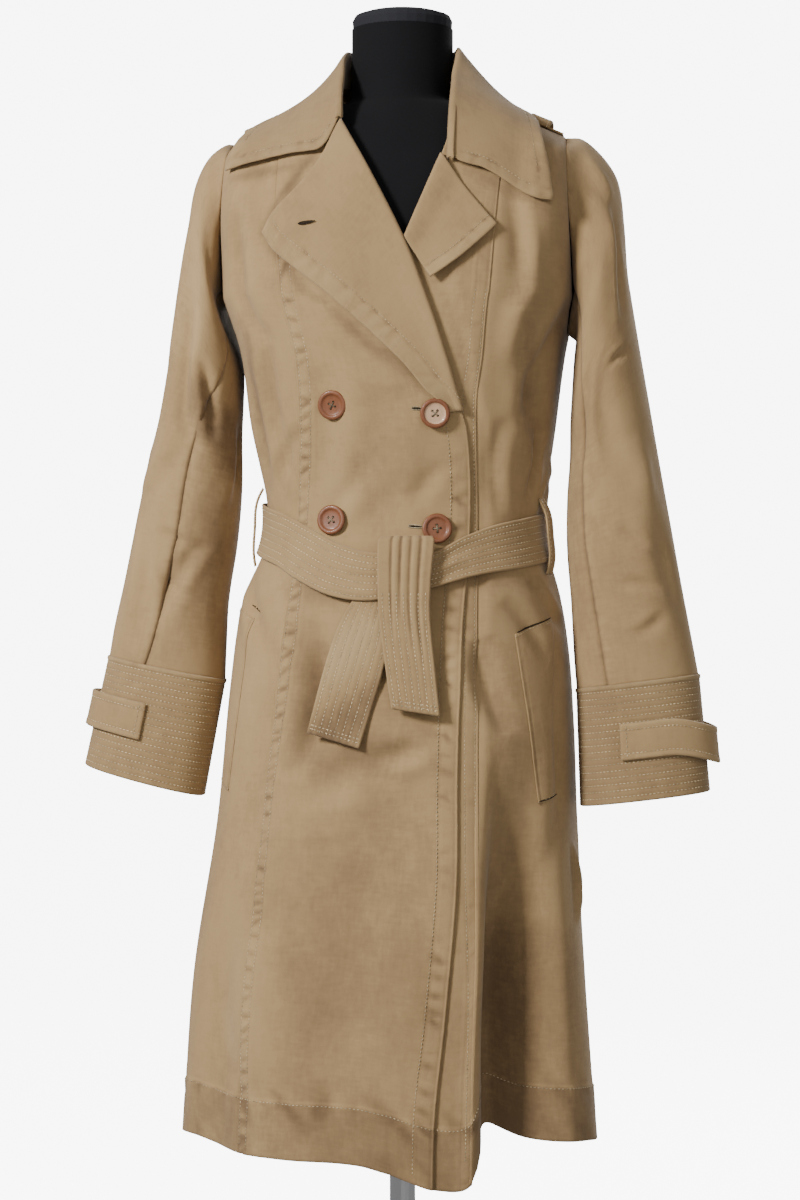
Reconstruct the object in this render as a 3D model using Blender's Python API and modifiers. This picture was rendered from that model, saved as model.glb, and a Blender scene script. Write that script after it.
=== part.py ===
"""Belted, double-breasted trench coat on a limbless dress form.

Metres, +Z up. The coat faces -Y and the wearer's right is -X. The origin is the centre of the
stand's underside.

One curved surface, the coat's outside, carries everything. A place on it has two coordinates:
  turn   angle round the body, 0 at centre front, +90 degrees at the wearer's left side, 180 at
         centre back;
  climb  the height up to CHEST_LINE, then how far the cloth has gone up and over the shoulder,
         reaching the shoulder seam at SHOULDER_CLIMB.
Panels are patches of that surface, and what lies on a panel is made from its points, moved out.
"""

import math
from collections import namedtuple

import bmesh
import bpy
from mathutils import Vector

# ---- driving dimensions ---------------------------------------------------------------------

CLOTH = 0.0020  # body cloth, with its turned edges
SEAM = 0.00015  # half the gap between two panels at their seam
LAYER = 0.0008  # air between two layers of cloth
TUCK = CLOTH + LAYER  # how far the under front lies below the top front

HEM = 0.446
CHEST_LINE = 1.250
SHOULDER_CLIMB = 1.450
SHOULDER_TOP = 1.4733  # height that the two shoulder slopes would meet at
SHOULDER_SLOPE = 0.4286
NAPE_ROUNDING = 0.020
SQUARENESS = 2.4  # exponent of the body's sections: 2 is an ellipse, more is squarer
CHEST_SQUARENESS = 3.0  # the same at the chest and above it
SQUARER_FROM = 1.100

UNDERARM = {-1: 1.250, 1: 1.215}  # lowest point of each armhole, by side
ARMHOLE_SCOOP = 0.55
NECK_HALF_WIDTH = 0.0605
NECK_HALF_DEPTH = 0.058

BUTTON_RADIUS = 0.0140
BUTTON_THICKNESS = 0.0036

BELT_THICKNESS = 0.0028

POLE_RADIUS = 0.0125
BASE_RADIUS = 0.185
BASE_THICKNESS = 0.012
FORM_BOTTOM = 0.760
NECK_TOP = 1.512
NECK_RADIUS = 0.0490

# ---- sections and edges ---------------------------------------------------------------------

Section = namedtuple("Section", "height right left front back")
SECTIONS = [
    Section(0.400, 0.211, 0.186, 0.153, 0.152),
    Section(0.440, 0.209, 0.185, 0.151, 0.150),
    Section(0.600, 0.200, 0.176, 0.145, 0.143),
    Section(0.750, 0.178, 0.168, 0.136, 0.133),
    Section(0.880, 0.166, 0.164, 0.126, 0.126),
    Section(0.960, 0.154, 0.154, 0.116, 0.115),
    Section(1.015, 0.1315, 0.1395, 0.106, 0.101),
    Section(1.060, 0.1315, 0.1400, 0.104, 0.096),
    Section(1.130, 0.146, 0.149, 0.112, 0.101),
    Section(1.200, 0.155, 0.158, 0.119, 0.109),
    Section(1.250, 0.172, 0.169, 0.119, 0.111),
]

# Height of the hem round the body: lowest at the front edge, highest in the deep fold.
HemMark = namedtuple("HemMark", "turn height")
HEM_LINE = [
    HemMark(-180, 0.446), HemMark(-90, 0.446), HemMark(-66, 0.453), HemMark(-46, 0.446),
    HemMark(-20, 0.443), HemMark(-4, 0.440), HemMark(4, 0.427), HemMark(12, 0.418),
    HemMark(21, 0.422), HemMark(26, 0.454), HemMark(34, 0.472), HemMark(50, 0.458),
    HemMark(70, 0.452), HemMark(90, 0.446), HemMark(180, 0.446),
]
HEM_FADE = 0.30  # the hem's shape fades out over this height

Edge = namedtuple("Edge", "climb x")
TOP_FRONT_EDGE = [  # roll line, then front edge, of the wearer's right front
    Edge(0.400, 0.0445), Edge(0.501, 0.0459), Edge(0.590, 0.0556), Edge(0.702, 0.0651),
    Edge(0.802, 0.0655), Edge(0.926, 0.0684), Edge(1.028, 0.0740), Edge(1.117, 0.0722),
    Edge(1.1527, 0.0611), Edge(1.2244, 0.0396), Edge(1.2668, 0.0142), Edge(1.3016, -0.0170),
    Edge(1.3613, -0.0487), Edge(1.4107, -0.0570), Edge(1.4500, -0.0605),
]
UNDER_FRONT_EDGE = [  # the same edge of the wearer's left front, mostly hidden
    Edge(0.400, -0.0550), Edge(0.590, -0.0680), Edge(0.802, -0.0760), Edge(1.028, -0.0840),
    Edge(1.117, -0.0800), Edge(1.170, -0.0450), Edge(1.2244, -0.0120), Edge(1.2668, 0.0142),
    Edge(1.3289, 0.0480), Edge(1.3700, 0.0560), Edge(1.4107, 0.0580), Edge(1.4500, 0.0605),
]
RIGHT_PRINCESS = [
    Edge(0.400, -0.1420), Edge(0.520, -0.1390), Edge(0.598, -0.1346), Edge(0.756, -0.1220),
    Edge(0.969, -0.0960), Edge(1.109, -0.0875), Edge(1.184, -0.0890), Edge(1.265, -0.1060),
    Edge(1.350, -0.1090), Edge(1.450, -0.1090),
]
LEFT_PRINCESS = [
    Edge(0.400, 0.0795), Edge(0.534, 0.0815), Edge(0.634, 0.0850), Edge(0.747, 0.0850),
    Edge(0.926, 0.0830), Edge(1.040, 0.0820), Edge(1.147, 0.0816), Edge(1.188, 0.0872),
    Edge(1.237, 0.0919), Edge(1.265, 0.0965), Edge(1.350, 0.1050), Edge(1.450, 0.1080),
]

ROW_CLIMBS = [
    HEM, 0.490, 0.535, 0.590, 0.645, 0.700, 0.755, 0.810, 0.865, 0.915, 0.960, 1.000,
    1.035, 1.070, 1.110, 1.150, 1.185, 1.215, 1.250, 1.268, 1.290, 1.315, 1.345, 1.378,
    1.412, 1.450,
]

# A soft vertical fold of the cloth: where its middle lies at the hem and where it dies out, how
# far it stands out (or in) at the hem, and the width of each flank, as turns in degrees.
Fold = namedtuple("Fold", "turn top_turn top depth flank")
FOLDS = [
    Fold(-72, -66, 0.900, 0.004, 11),
    Fold(-51, -48, 0.820, -0.009, 9),
    Fold(-25, -20, 0.860, 0.006, 12),
    Fold(72, 74, 0.760, 0.010, 12),
    Fold(-106, -104, 0.880, -0.010, 10),
    Fold(-128, -126, 0.920, 0.012, 11),
    Fold(-152, -154, 0.940, -0.012, 11),
    Fold(-176, -178, 0.960, 0.012, 12),
    Fold(158, 160, 0.940, -0.011, 11),
    Fold(134, 136, 0.920, 0.012, 11),
    Fold(108, 107, 0.860, -0.009, 11),
]

# Where the cloth drops back beside the wearer's left princess seam and comes forward again.
VALLEY_TOP = 0.860
VALLEY_DEPTH = 0.058
VALLEY_STEEP = 9.0  # degrees of turn from the crest to the bottom
VALLEY_FLAT = 5.0
VALLEY_SLOW = 26.0  # degrees of turn to come forward again

TWILL = (0.42, 0.32, 0.20, 1.0)
TWILL_DARK = (0.36, 0.27, 0.17, 1.0)
TWILL_LIGHT = (0.47, 0.36, 0.23, 1.0)
BUTTON_BROWN = (0.33, 0.13, 0.06, 1.0)
BUTTON_CREAM = (0.60, 0.40, 0.28, 1.0)
JERSEY = (0.012, 0.012, 0.013, 1.0)
JERSEY_CAP = (0.035, 0.035, 0.038, 1.0)
STEEL = (0.30, 0.30, 0.31, 1.0)


# ---- small mathematics ----------------------------------------------------------------------

def clamp(value, low=0.0, high=1.0):
    return max(low, min(high, value))


def ease(share):
    """Smooth step from 0 to 1."""
    share = clamp(share)
    return share * share * (3.0 - 2.0 * share)


def mix(first, second, share):
    return first * (1.0 - share) + second * share


def spread(start, end, count):
    """Evenly spaced values from start to end."""
    return [mix(start, end, i / count) for i in range(count + 1)]


def curve_value(knots, values, at):
    """Value at a place on a smooth curve through values at rising knots."""
    if at <= knots[0]:
        return values[0]
    if at >= knots[-1]:
        return values[-1]
    last = len(knots) - 1
    index = max(i for i in range(last) if knots[i] <= at)

    def slope(i):
        low, high = max(i - 1, 0), min(i + 1, last)
        return (values[high] - values[low]) / (knots[high] - knots[low])

    span = knots[index + 1] - knots[index]
    t = (at - knots[index]) / span
    bend = t * t * (3.0 - 2.0 * t)
    lead = t * (1.0 - t) ** 2 * span * slope(index)
    trail = t * t * (t - 1.0) * span * slope(index + 1)
    return values[index] * (1.0 - bend) + values[index + 1] * bend + lead + trail


def read(table, column, at):
    """Value of a named column of a table at a value of its first column."""
    knots = [row[0] for row in table]
    values = [getattr(row, column) for row in table]
    return curve_value(knots, values, at)


def along(points, share):
    """Point at a share of the way along a smooth curve through points, by their distances."""
    knots = [0.0]
    for before, after in zip(points, points[1:]):
        knots.append(knots[-1] + (Vector(after) - Vector(before)).length)
    at = share * knots[-1]
    return [curve_value(knots, [point[axis] for point in points], at)
            for axis in range(len(points[0]))]


# ---- the coat's outer surface ---------------------------------------------------------------

def power(value, exponent):
    return math.copysign(abs(value) ** exponent, value)


def shoulder_height(x):
    return SHOULDER_TOP - SHOULDER_SLOPE * math.hypot(x, NAPE_ROUNDING)


def fold_height(turn, climb):
    """How far the folds move the cloth outwards."""
    total = 0.0
    for fold in FOLDS:
        fade = clamp((fold.top - climb) / (fold.top - HEM))
        if fade > 0.0:
            middle = mix(fold.top_turn, fold.turn, fade)
            away = abs((turn - middle + 180.0) % 360.0 - 180.0)
            total += fold.depth * fade * ease(1.0 - away / (2.0 * fold.flank))
    return total


def valley(turn, climb):
    """How far the cloth drops back in the deep fold beside the left princess seam."""
    fade = ease((VALLEY_TOP - climb) / (VALLEY_TOP - 0.56))
    past = turn - turn_at(read(LEFT_PRINCESS, "x", climb), climb)
    down = ease((past - 0.4) / VALLEY_STEEP)
    back = ease((past - VALLEY_STEEP - VALLEY_FLAT) / VALLEY_SLOW)
    return VALLEY_DEPTH * fade * down * (1.0 - back)


def squareness(climb):
    share = (climb - SQUARER_FROM) / (CHEST_LINE - SQUARER_FROM)
    return mix(SQUARENESS, CHEST_SQUARENESS, ease(share))


def section(climb):
    at = min(climb, CHEST_LINE)
    return Section(*[at] + [read(SECTIONS, name, at) for name in Section._fields[1:]])


def turn_at(x, climb):
    """Turn of the front's point at this x."""
    here = section(climb)
    width = here.right if x < 0 else here.left
    share = clamp(abs(x) / width)
    return math.copysign(math.degrees(math.asin(share ** (squareness(climb) / 2.0))), x)


def hem_shift(turn, climb):
    """How far the hem's shape lifts or lowers the cloth."""
    fade = clamp(1.0 - (climb - HEM) / HEM_FADE)
    around = (turn + 180.0) % 360.0 - 180.0
    return fade * (read(HEM_LINE, "height", around) - HEM)


def plain_point(turn, climb):
    """Point of the outer surface, before folds."""
    angle = math.radians(turn)
    here = section(climb)
    width = here.left if math.sin(angle) > 0 else here.right
    depth = here.front if math.cos(angle) > 0 else here.back
    bend = 2.0 / squareness(climb)
    x = width * power(math.sin(angle), bend)
    y = -depth * power(math.cos(angle), bend)
    if climb <= CHEST_LINE:
        return Vector((x, y, climb + hem_shift(turn, climb)))
    over = math.radians(90.0 * (climb - CHEST_LINE) / (SHOULDER_CLIMB - CHEST_LINE))
    rise = (shoulder_height(x) - CHEST_LINE) * power(math.sin(over), 2.0 / SQUARENESS)
    return Vector((x, y * power(math.cos(over), 2.0 / SQUARENESS), CHEST_LINE + rise))


def outward(turn, climb):
    """Unit normal of the unfolded surface."""
    step_turn, step_climb = 0.5, 0.002
    climb = min(climb, SHOULDER_CLIMB - step_climb)
    round_body = plain_point(turn + step_turn, climb) - plain_point(turn - step_turn, climb)
    upwards = plain_point(turn, climb + step_climb) - plain_point(turn, climb - step_climb)
    return round_body.cross(upwards).normalized()


def coat_point(turn, climb, out=0.0):
    """Point of the coat's outer surface, moved out by a distance."""
    moved = out + fold_height(turn, climb)
    if 0.0 < turn < 90.0:
        moved -= valley(turn, climb)
    return plain_point(turn, climb) + outward(turn, climb) * moved


def facing(surface, turn, climb):
    """Unit normal of a surface of turn and climb, upright in plan along the shoulder seam."""
    step_turn, step_climb = 0.25, 0.0015
    high = min(climb + step_climb, SHOULDER_CLIMB)
    across = surface(turn + step_turn, climb) - surface(turn - step_turn, climb)
    upwards = surface(turn, high) - surface(turn, climb - step_climb)
    normal = across.cross(upwards)
    if climb >= SHOULDER_CLIMB:
        normal.y = 0.0
    return normal.normalized()


def front_place(x, height):
    """Turn and climb of the front's point at this x and height."""
    climb = height
    if height > CHEST_LINE:
        share = clamp((height - CHEST_LINE) / (shoulder_height(x) - CHEST_LINE))
        over = math.asin(share ** (SQUARENESS / 2.0))
        climb = CHEST_LINE + (SHOULDER_CLIMB - CHEST_LINE) * math.degrees(over) / 90.0
    return turn_at(x, climb), climb


def plan_place(x, y):
    """Turn and climb of the shoulders' point above this x and y."""
    here = section(CHEST_LINE)
    width = here.right if x < 0 else here.left
    depth = here.front if y < 0 else here.back
    bend = CHEST_SQUARENESS
    reach = depth * (1.0 - clamp(abs(x) / width) ** bend) ** (1.0 / bend)
    share = clamp(abs(y) / reach)
    over = math.degrees(math.acos(share ** (SQUARENESS / 2.0)))
    climb = CHEST_LINE + (SHOULDER_CLIMB - CHEST_LINE) * over / 90.0
    turn = turn_at(x, climb)
    if y > 0:
        turn = math.copysign(180.0, x) - turn
    return turn, climb


def on_front(x, height, out):
    turn, climb = front_place(x, height)
    return coat_point(turn, climb, out)


def armhole_turn(side, climb):
    """Turn of the front's edge at this climb: the side seam, then the armhole."""
    share = (climb - UNDERARM[side]) / (SHOULDER_CLIMB - UNDERARM[side])
    if share <= 0.0:
        return side * 90.0
    scoop = ARMHOLE_SCOOP * share ** 0.3
    return side * math.degrees(math.acos(scoop ** (squareness(climb) / 2.0)))


# ---- making objects -------------------------------------------------------------------------

def material(name, colour, roughness, metallic=0.0):
    made = bpy.data.materials.get(name)
    if made is None:
        made = bpy.data.materials.new(name)
        made.use_nodes = True
        shader = made.node_tree.nodes["Principled BSDF"]
        shader.inputs["Base Color"].default_value = colour
        shader.inputs["Roughness"].default_value = roughness
        shader.inputs["Metallic"].default_value = metallic
    return made


def add_object(name, mesh, finish):
    mesh.materials.append(finish)
    made = bpy.data.objects.new(name, mesh)
    bpy.data.collections["trench_coat"].objects.link(made)
    mesh.shade_smooth()
    mesh.set_sharp_from_angle(angle=math.radians(40))
    return made


def wall(name, outer, normals, finish, thickness=CLOTH, closed=False):
    """Wall of cloth between a net of points on its outer side and the same net moved in."""
    across, down = len(outer[0]), len(outer)
    count = across * down
    points = [tuple(point) for row in outer for point in row]
    for row, row_normals in zip(outer, normals):
        points += [tuple(point - normal * thickness) for point, normal in zip(row, row_normals)]
    faces = []
    spans = across if closed else across - 1
    for j in range(down - 1):
        for i in range(spans):
            k = (i + 1) % across
            face = (j * across + i, j * across + k, (j + 1) * across + k, (j + 1) * across + i)
            faces.append(face)
            faces.append(tuple(count + index for index in reversed(face)))
    for i in range(spans):
        k = (i + 1) % across
        faces.append((k, i, count + i, count + k))
        last = (down - 1) * across
        faces.append((last + i, last + k, count + last + k, count + last + i))
    if not closed:
        for j in range(down - 1):
            low, high = j * across, (j + 1) * across
            faces.append((low, high, count + high))
            faces.append((low, count + high, count + low))
            low, high = low + across - 1, high + across - 1
            faces.append((high, low, count + high))
            faces.append((low, count + low, count + high))
    mesh = bpy.data.meshes.new(name)
    mesh.from_pydata(points, [], faces)
    face_outwards(mesh)
    return add_object(name, mesh, finish)


def face_outwards(mesh):
    """Turns a closed mesh right side out."""
    shape = bmesh.new()
    shape.from_mesh(mesh)
    if shape.calc_volume(signed=True) < 0.0:
        bmesh.ops.reverse_faces(shape, faces=shape.faces)
    shape.to_mesh(mesh)
    shape.free()


def net_normals(rows, closed=False, away_from=None):
    """Unit normals of a net, pointing away from a point where one is given."""
    across, down = len(rows[0]), len(rows)
    normals = []
    for j, row in enumerate(rows):
        low, high = rows[max(j - 1, 0)], rows[min(j + 1, down - 1)]
        line = []
        for i in range(across):
            before = (i - 1) % across if closed else max(i - 1, 0)
            after = (i + 1) % across if closed else min(i + 1, across - 1)
            line.append((row[after] - row[before]).cross(high[i] - low[i]).normalized())
        normals.append(line)
    if away_from is not None:
        middle_row, middle = down // 2, across // 2
        outwards = rows[middle_row][middle] - away_from(rows[middle_row][middle])
        if normals[middle_row][middle].dot(outwards) < 0.0:
            normals = [[-normal for normal in line] for line in normals]
    return normals


def body_axis(point):
    """Place inside the body that cloth lying on it faces away from."""
    return Vector((point.x * 0.5, 0.0, min(point.z, CHEST_LINE)))


def cloth(name, rows, finish, thickness=CLOTH, closed=False, away_from=body_axis):
    """Wall of cloth from a net of points alone."""
    return wall(name, rows, net_normals(rows, closed, away_from), finish, thickness, closed)


def body_panel(name, edges, columns, finish, out=lambda turn, climb: 0.0, bias=1.0):
    """Panel of the body between two edges, given as functions from climb to turn."""
    first_edge, last_edge = edges

    def surface(turn, climb):
        return coat_point(turn, climb, out(turn, climb))

    net, normals = [], []
    for climb in ROW_CLIMBS:
        start, end = first_edge(climb), last_edge(climb)
        turns = [mix(start, end, (i / columns) ** bias) for i in range(columns + 1)]
        line = [surface(turn, climb) for turn in turns]
        if climb >= SHOULDER_CLIMB:
            line = [point - Vector((0.0, SEAM, 0.0)) for point in line]
        net.append(line)
        normals.append([facing(surface, turn, climb) for turn in turns])
    return wall(name, inset_edges(net), normals, finish)


def inset_edges(net):
    """The net with both side edges moved in by half a seam gap, square to the edge."""
    last = len(net) - 1
    moved = [list(row) for row in net]
    for j, row in enumerate(net):
        for end, beside in ((0, 1), (-1, -2)):
            run = (net[min(j + 1, last)][end] - net[max(j - 1, 0)][end]).normalized()
            into = row[beside] - row[end]
            into -= run * into.dot(run)
            moved[j][end] = row[end] + into.normalized() * SEAM
    return moved


def coons(sides, across, down):
    """Net of flat points between four curves: top, bottom, start and end.

    Each is a list of (x, height); top and bottom run across, start and end run down.
    """
    top, bottom, start, end = sides
    corners = [Vector(top[0]), Vector(top[-1]), Vector(bottom[0]), Vector(bottom[-1])]
    net = []
    for j in range(down + 1):
        v = j / down
        first, last = Vector(along(start, v)), Vector(along(end, v))
        line = []
        for i in range(across + 1):
            u = i / across
            high, low = Vector(along(top, u)), Vector(along(bottom, u))
            flat = mix(mix(corners[0], corners[1], u), mix(corners[2], corners[3], u), v)
            line.append(mix(high, low, v) + mix(first, last, u) - flat)
        net.append(line)
    return net


# ---- the body of the coat -------------------------------------------------------------------

def edge_turn(table):
    return lambda climb: turn_at(read(table, "x", climb), climb)


def tuck_under(turn, climb):
    """The under front lies one layer below the top front, up to just past its edge."""
    edge = edge_turn(TOP_FRONT_EDGE)(climb)
    return -TUCK * (1.0 - ease((turn - edge - 6.0) / 5.0))


def back_edge(side):
    """Turn of the back's edge at a side, mirrored from the front's."""
    return lambda climb: side * 180.0 - armhole_turn(side, climb)


def make_body():
    twill = material("twill", TWILL, 0.85)
    dark = material("twill_under", TWILL_DARK, 0.85)
    body_panel("front_right_side",
               (lambda climb: armhole_turn(-1, climb), edge_turn(RIGHT_PRINCESS)), 6, twill)
    body_panel("front_right_centre",
               (edge_turn(RIGHT_PRINCESS), edge_turn(TOP_FRONT_EDGE)), 10, twill)
    body_panel("front_left_centre",
               (edge_turn(UNDER_FRONT_EDGE), edge_turn(LEFT_PRINCESS)), 10, dark, tuck_under)
    body_panel("front_left_side",
               (edge_turn(LEFT_PRINCESS), lambda climb: armhole_turn(1, climb)), 12, twill,
               tuck_under, bias=1.6)
    make_back(twill)


def make_back(finish):
    """Back in one panel, cut away round the neck."""
    net, normals = [], []
    for climb in ROW_CLIMBS:
        under_neck = [180.0 - turn_at(NECK_HALF_WIDTH * math.cos(math.radians(way)), climb)
                      for way in spread(0.0, 180.0, 10)]
        turns = spread(back_edge(1)(climb), under_neck[0], 6)
        turns += under_neck[1:]
        turns += spread(under_neck[-1], back_edge(-1)(climb) + 360.0, 6)[1:]
        climbs = [neck_climb(turn, climb) for turn in turns]
        line = [coat_point(turn, here) for turn, here in zip(turns, climbs)]
        if climb >= SHOULDER_CLIMB:
            line = [point + Vector((0.0, SEAM, 0.0)) for point in line]
        net.append(line)
        normals.append([facing(coat_point, turn, here) for turn, here in zip(turns, climbs)])
    return wall("back", inset_edges(net), normals, finish)


def neck_climb(turn, climb):
    """Highest climb of the back at this turn, where the neckline cuts it."""
    x = plain_point(turn, climb).x
    if abs(x) >= NECK_HALF_WIDTH - 0.0001:
        return climb
    y = NECK_HALF_DEPTH * math.sqrt(1.0 - (x / NECK_HALF_WIDTH) ** 2)
    top = plan_place(x, max(y, 0.0005))[1]
    share = (climb - CHEST_LINE) / (SHOULDER_CLIMB - CHEST_LINE)
    if share <= 0.0:
        return climb
    return mix(CHEST_LINE, top, share)


# ---- lapels and collar ----------------------------------------------------------------------

RIGHT_LAPEL = {
    "roll": [(-0.0487, 1.4080), (-0.0170, 1.3530), (0.0142, 1.2914), (0.0396, 1.2244),
             (0.0526, 1.1834), (0.0611, 1.1527), (0.0660, 1.1370)],
    "outer": [(-0.1184, 1.3048), (-0.1070, 1.2880), (-0.0880, 1.2716), (-0.0525, 1.2430),
              (0.0128, 1.1835), (0.0353, 1.1564), (0.0447, 1.1480), (0.0560, 1.1360)],
    "top": [(-0.0487, 1.4080), (-0.0642, 1.3772), (-0.0852, 1.3490), (-0.1080, 1.3246),
            (-0.1184, 1.3048)],
    "bottom": [(0.0660, 1.1370), (0.0560, 1.1360)],
}
LEFT_LAPEL = {
    "roll": [(0.0490, 1.3725), (0.0330, 1.3340), (0.0165, 1.2960)],
    "outer": [(0.0987, 1.3085), (0.0845, 1.2945), (0.0651, 1.2776), (0.0400, 1.2600)],
    "top": [(0.0490, 1.3725), (0.0570, 1.3620), (0.0693, 1.3450), (0.0826, 1.3283),
            (0.0987, 1.3085)],
    "bottom": [(0.0165, 1.2960), (0.0280, 1.2780), (0.0400, 1.2600)],
}


def make_lapel(name, outline, lift, across, down, finish):
    """Lapel lying on its front: across from the roll line to its outer edge."""
    flat = coons((outline["top"], outline["bottom"], outline["roll"], outline["outer"]),
                 across, down)
    net = []
    for j, line in enumerate(flat):
        row = []
        for i, (x, height) in enumerate(line):
            roll = 0.004 * (1.0 - ease(2.5 * i / across))
            row.append(on_front(x, height, lift + roll * (1.0 - 0.5 * j / down)))
        net.append(row)
    return cloth(name, net, finish)


# Collar stations: the fold line and the leaf's outer edge, each as a place in plan above the
# shoulders and a height above the coat there, and how soon the leaf comes down to the coat.
Station = namedtuple("Station", "way fold_x fold_y fold_lift edge_x edge_y edge_lift hug")
COLLAR = [
    Station(0.00, -0.0490, -0.0785, 0.0075, -0.1560, -0.0430, 0.0060, 2.5),
    Station(0.14, -0.0530, -0.0480, 0.0250, -0.1480, -0.0330, 0.0075, 2.8),
    Station(0.28, -0.0548, -0.0080, 0.0420, -0.1270, -0.0020, 0.0080, 2.8),
    Station(0.39, -0.0450, 0.0340, 0.0490, -0.0950, 0.0450, 0.0075, 2.0),
    Station(0.50, 0.0000, 0.0560, 0.0490, 0.0000, 0.0775, 0.0070, 1.6),
    Station(0.61, 0.0450, 0.0340, 0.0490, 0.0950, 0.0450, 0.0075, 1.6),
    Station(0.72, 0.0556, -0.0080, 0.0450, 0.1230, -0.0020, 0.0080, 1.6),
    Station(0.86, 0.0550, -0.0400, 0.0250, 0.1420, -0.0350, 0.0075, 1.6),
    Station(1.00, 0.0530, -0.0740, 0.0075, 0.1450, -0.0560, 0.0060, 1.6),
]
# The leaf's lower edge at each front end, from the fold through the notch to the tip, as x
# and height.
COLLAR_END_RIGHT = [(-0.0487, 1.4130), (-0.0640, 1.3830), (-0.0918, 1.3790),
                    (-0.1228, 1.3740), (-0.1560, 1.3660)]
COLLAR_END_LEFT = [(0.0560, 1.3720), (0.0680, 1.3660), (0.0836, 1.3620), (0.0967, 1.3556),
                   (0.1097, 1.3470), (0.1336, 1.3345), (0.1485, 1.3326)]
COLLAR_END_REACH = 0.14  # share of the collar's length that its ends' outlines shape


def collar_leaf(way, share):
    """Point of the collar's leaf, from its fold (0) to its outer edge (1)."""
    fold = Vector((read(COLLAR, "fold_x", way), read(COLLAR, "fold_y", way)))
    edge = Vector((read(COLLAR, "edge_x", way), read(COLLAR, "edge_y", way)))
    turn, climb = plan_place(*mix(fold, edge, share))
    upper = (1.0 - share) ** read(COLLAR, "hug", way)
    lift = mix(read(COLLAR, "edge_lift", way), read(COLLAR, "fold_lift", way), upper)
    lying = share
    for end, outline in ((0.0, COLLAR_END_RIGHT), (1.0, COLLAR_END_LEFT)):
        near = ease(1.0 - abs(way - end) / COLLAR_END_REACH)
        if near > 0.0:
            end_turn, end_climb = front_place(*along(outline, share))
            turn, climb = mix(turn, end_turn, near), mix(climb, end_climb, near)
            lift = mix(lift, mix(0.0075, 0.0062, share), near)
            lying = max(share, near)
    upright = Vector((0.0, 0.0, lift))
    return plain_point(turn, climb) + mix(upright, outward(turn, climb) * lift, lying)


def make_collar(finish):
    """Collar folded over its stand: stand's foot, up to the fold and down the leaf."""
    ways, leaf_steps = 28, 6
    net = []
    for i in range(ways + 1):
        way = i / ways
        leaf = [collar_leaf(way, j / leaf_steps) for j in range(leaf_steps + 1)]
        net.append(collar_stand(way, leaf[0]) + leaf)
    return cloth("collar", net, finish)


def collar_stand(way, fold):
    """The stand's visible inner side, from its foot up to the fold."""
    inwards = Vector((-fold.x, -0.25 * fold.y, 0.0)).normalized()
    tall = ease(1.6 - abs(way - 0.5) * 3.4)
    foot = Vector((fold.x * 1.06, fold.y * 1.02, fold.z - 0.004 - 0.032 * tall))
    return [foot, mix(foot, fold, 0.55) + inwards * 0.0015,
            fold + Vector((0, 0, -0.0035)) + inwards * 0.0032]


# ---- sleeves and cuffs ----------------------------------------------------------------------

Ring = namedtuple("Ring", "outer_x outer_z inner_x inner_z half_depth forward seam")
SLEEVE_RIGHT = [
    Ring(0.1710, 1.4030, 0.1765, 1.243, 0.050, 0.003, 92),
    Ring(0.1870, 1.3905, 0.1755, 1.232, 0.055, 0.004, 92),
    Ring(0.1995, 1.3640, 0.1690, 1.218, 0.059, 0.006, 92),
    Ring(0.2060, 1.326, 0.1610, 1.200, 0.061, 0.007, 92),
    Ring(0.2130, 1.273, 0.1560, 1.180, 0.060, 0.009, 92),
    Ring(0.2226, 1.212, 0.1556, 1.152, 0.057, 0.011, 92),
    Ring(0.2343, 1.154, 0.1565, 1.118, 0.054, 0.012, 92),
    Ring(0.2459, 1.096, 0.1560, 1.067, 0.051, 0.014, 91),
    Ring(0.2575, 1.038, 0.1600, 1.015, 0.049, 0.016, 90),
    Ring(0.2692, 0.979, 0.1680, 0.960, 0.047, 0.018, 88),
    Ring(0.2790, 0.934, 0.1700, 0.914, 0.045, 0.020, 84),
    Ring(0.2837, 0.906, 0.1710, 0.883, 0.043, 0.021, 78),
]
SLEEVE_LEFT = [
    Ring(0.1760, 1.4020, 0.1700, 1.207, 0.050, 0.003, 125),
    Ring(0.1965, 1.3830, 0.1685, 1.198, 0.056, 0.004, 125),
    Ring(0.2095, 1.360, 0.1670, 1.188, 0.060, 0.006, 125),
    Ring(0.2150, 1.320, 0.1660, 1.174, 0.062, 0.007, 125),
    Ring(0.2190, 1.270, 0.1650, 1.156, 0.060, 0.009, 125),
    Ring(0.2280, 1.212, 0.1635, 1.128, 0.057, 0.011, 126),
    Ring(0.2380, 1.154, 0.1630, 1.094, 0.054, 0.012, 127),
    Ring(0.2480, 1.096, 0.1605, 1.055, 0.051, 0.014, 127),
    Ring(0.2585, 1.038, 0.1605, 1.010, 0.049, 0.016, 127),
    Ring(0.2690, 0.979, 0.1645, 0.958, 0.047, 0.018, 123),
    Ring(0.2800, 0.921, 0.1675, 0.905, 0.045, 0.020, 118),
    Ring(0.2860, 0.889, 0.1700, 0.875, 0.043, 0.021, 116),
]
CUFF_END = {
    -1: Ring(0.3060, 0.802, 0.1906, 0.772, 0.043, 0.026, 70),
    1: Ring(0.2963, 0.780, 0.1741, 0.765, 0.043, 0.026, 108),
}
CUFF_CLOTH = 0.0026
SLEEVE_GAP = {-1: 0.0006, 1: 0.0012}  # between each sleeve's head and its armhole
SLEEVE_ROUND = 2.2
BACK_SEAM = -105.0


def mix_ring(first, second, share):
    return Ring(*[mix(a, b, share) for a, b in zip(first, second)])


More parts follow.
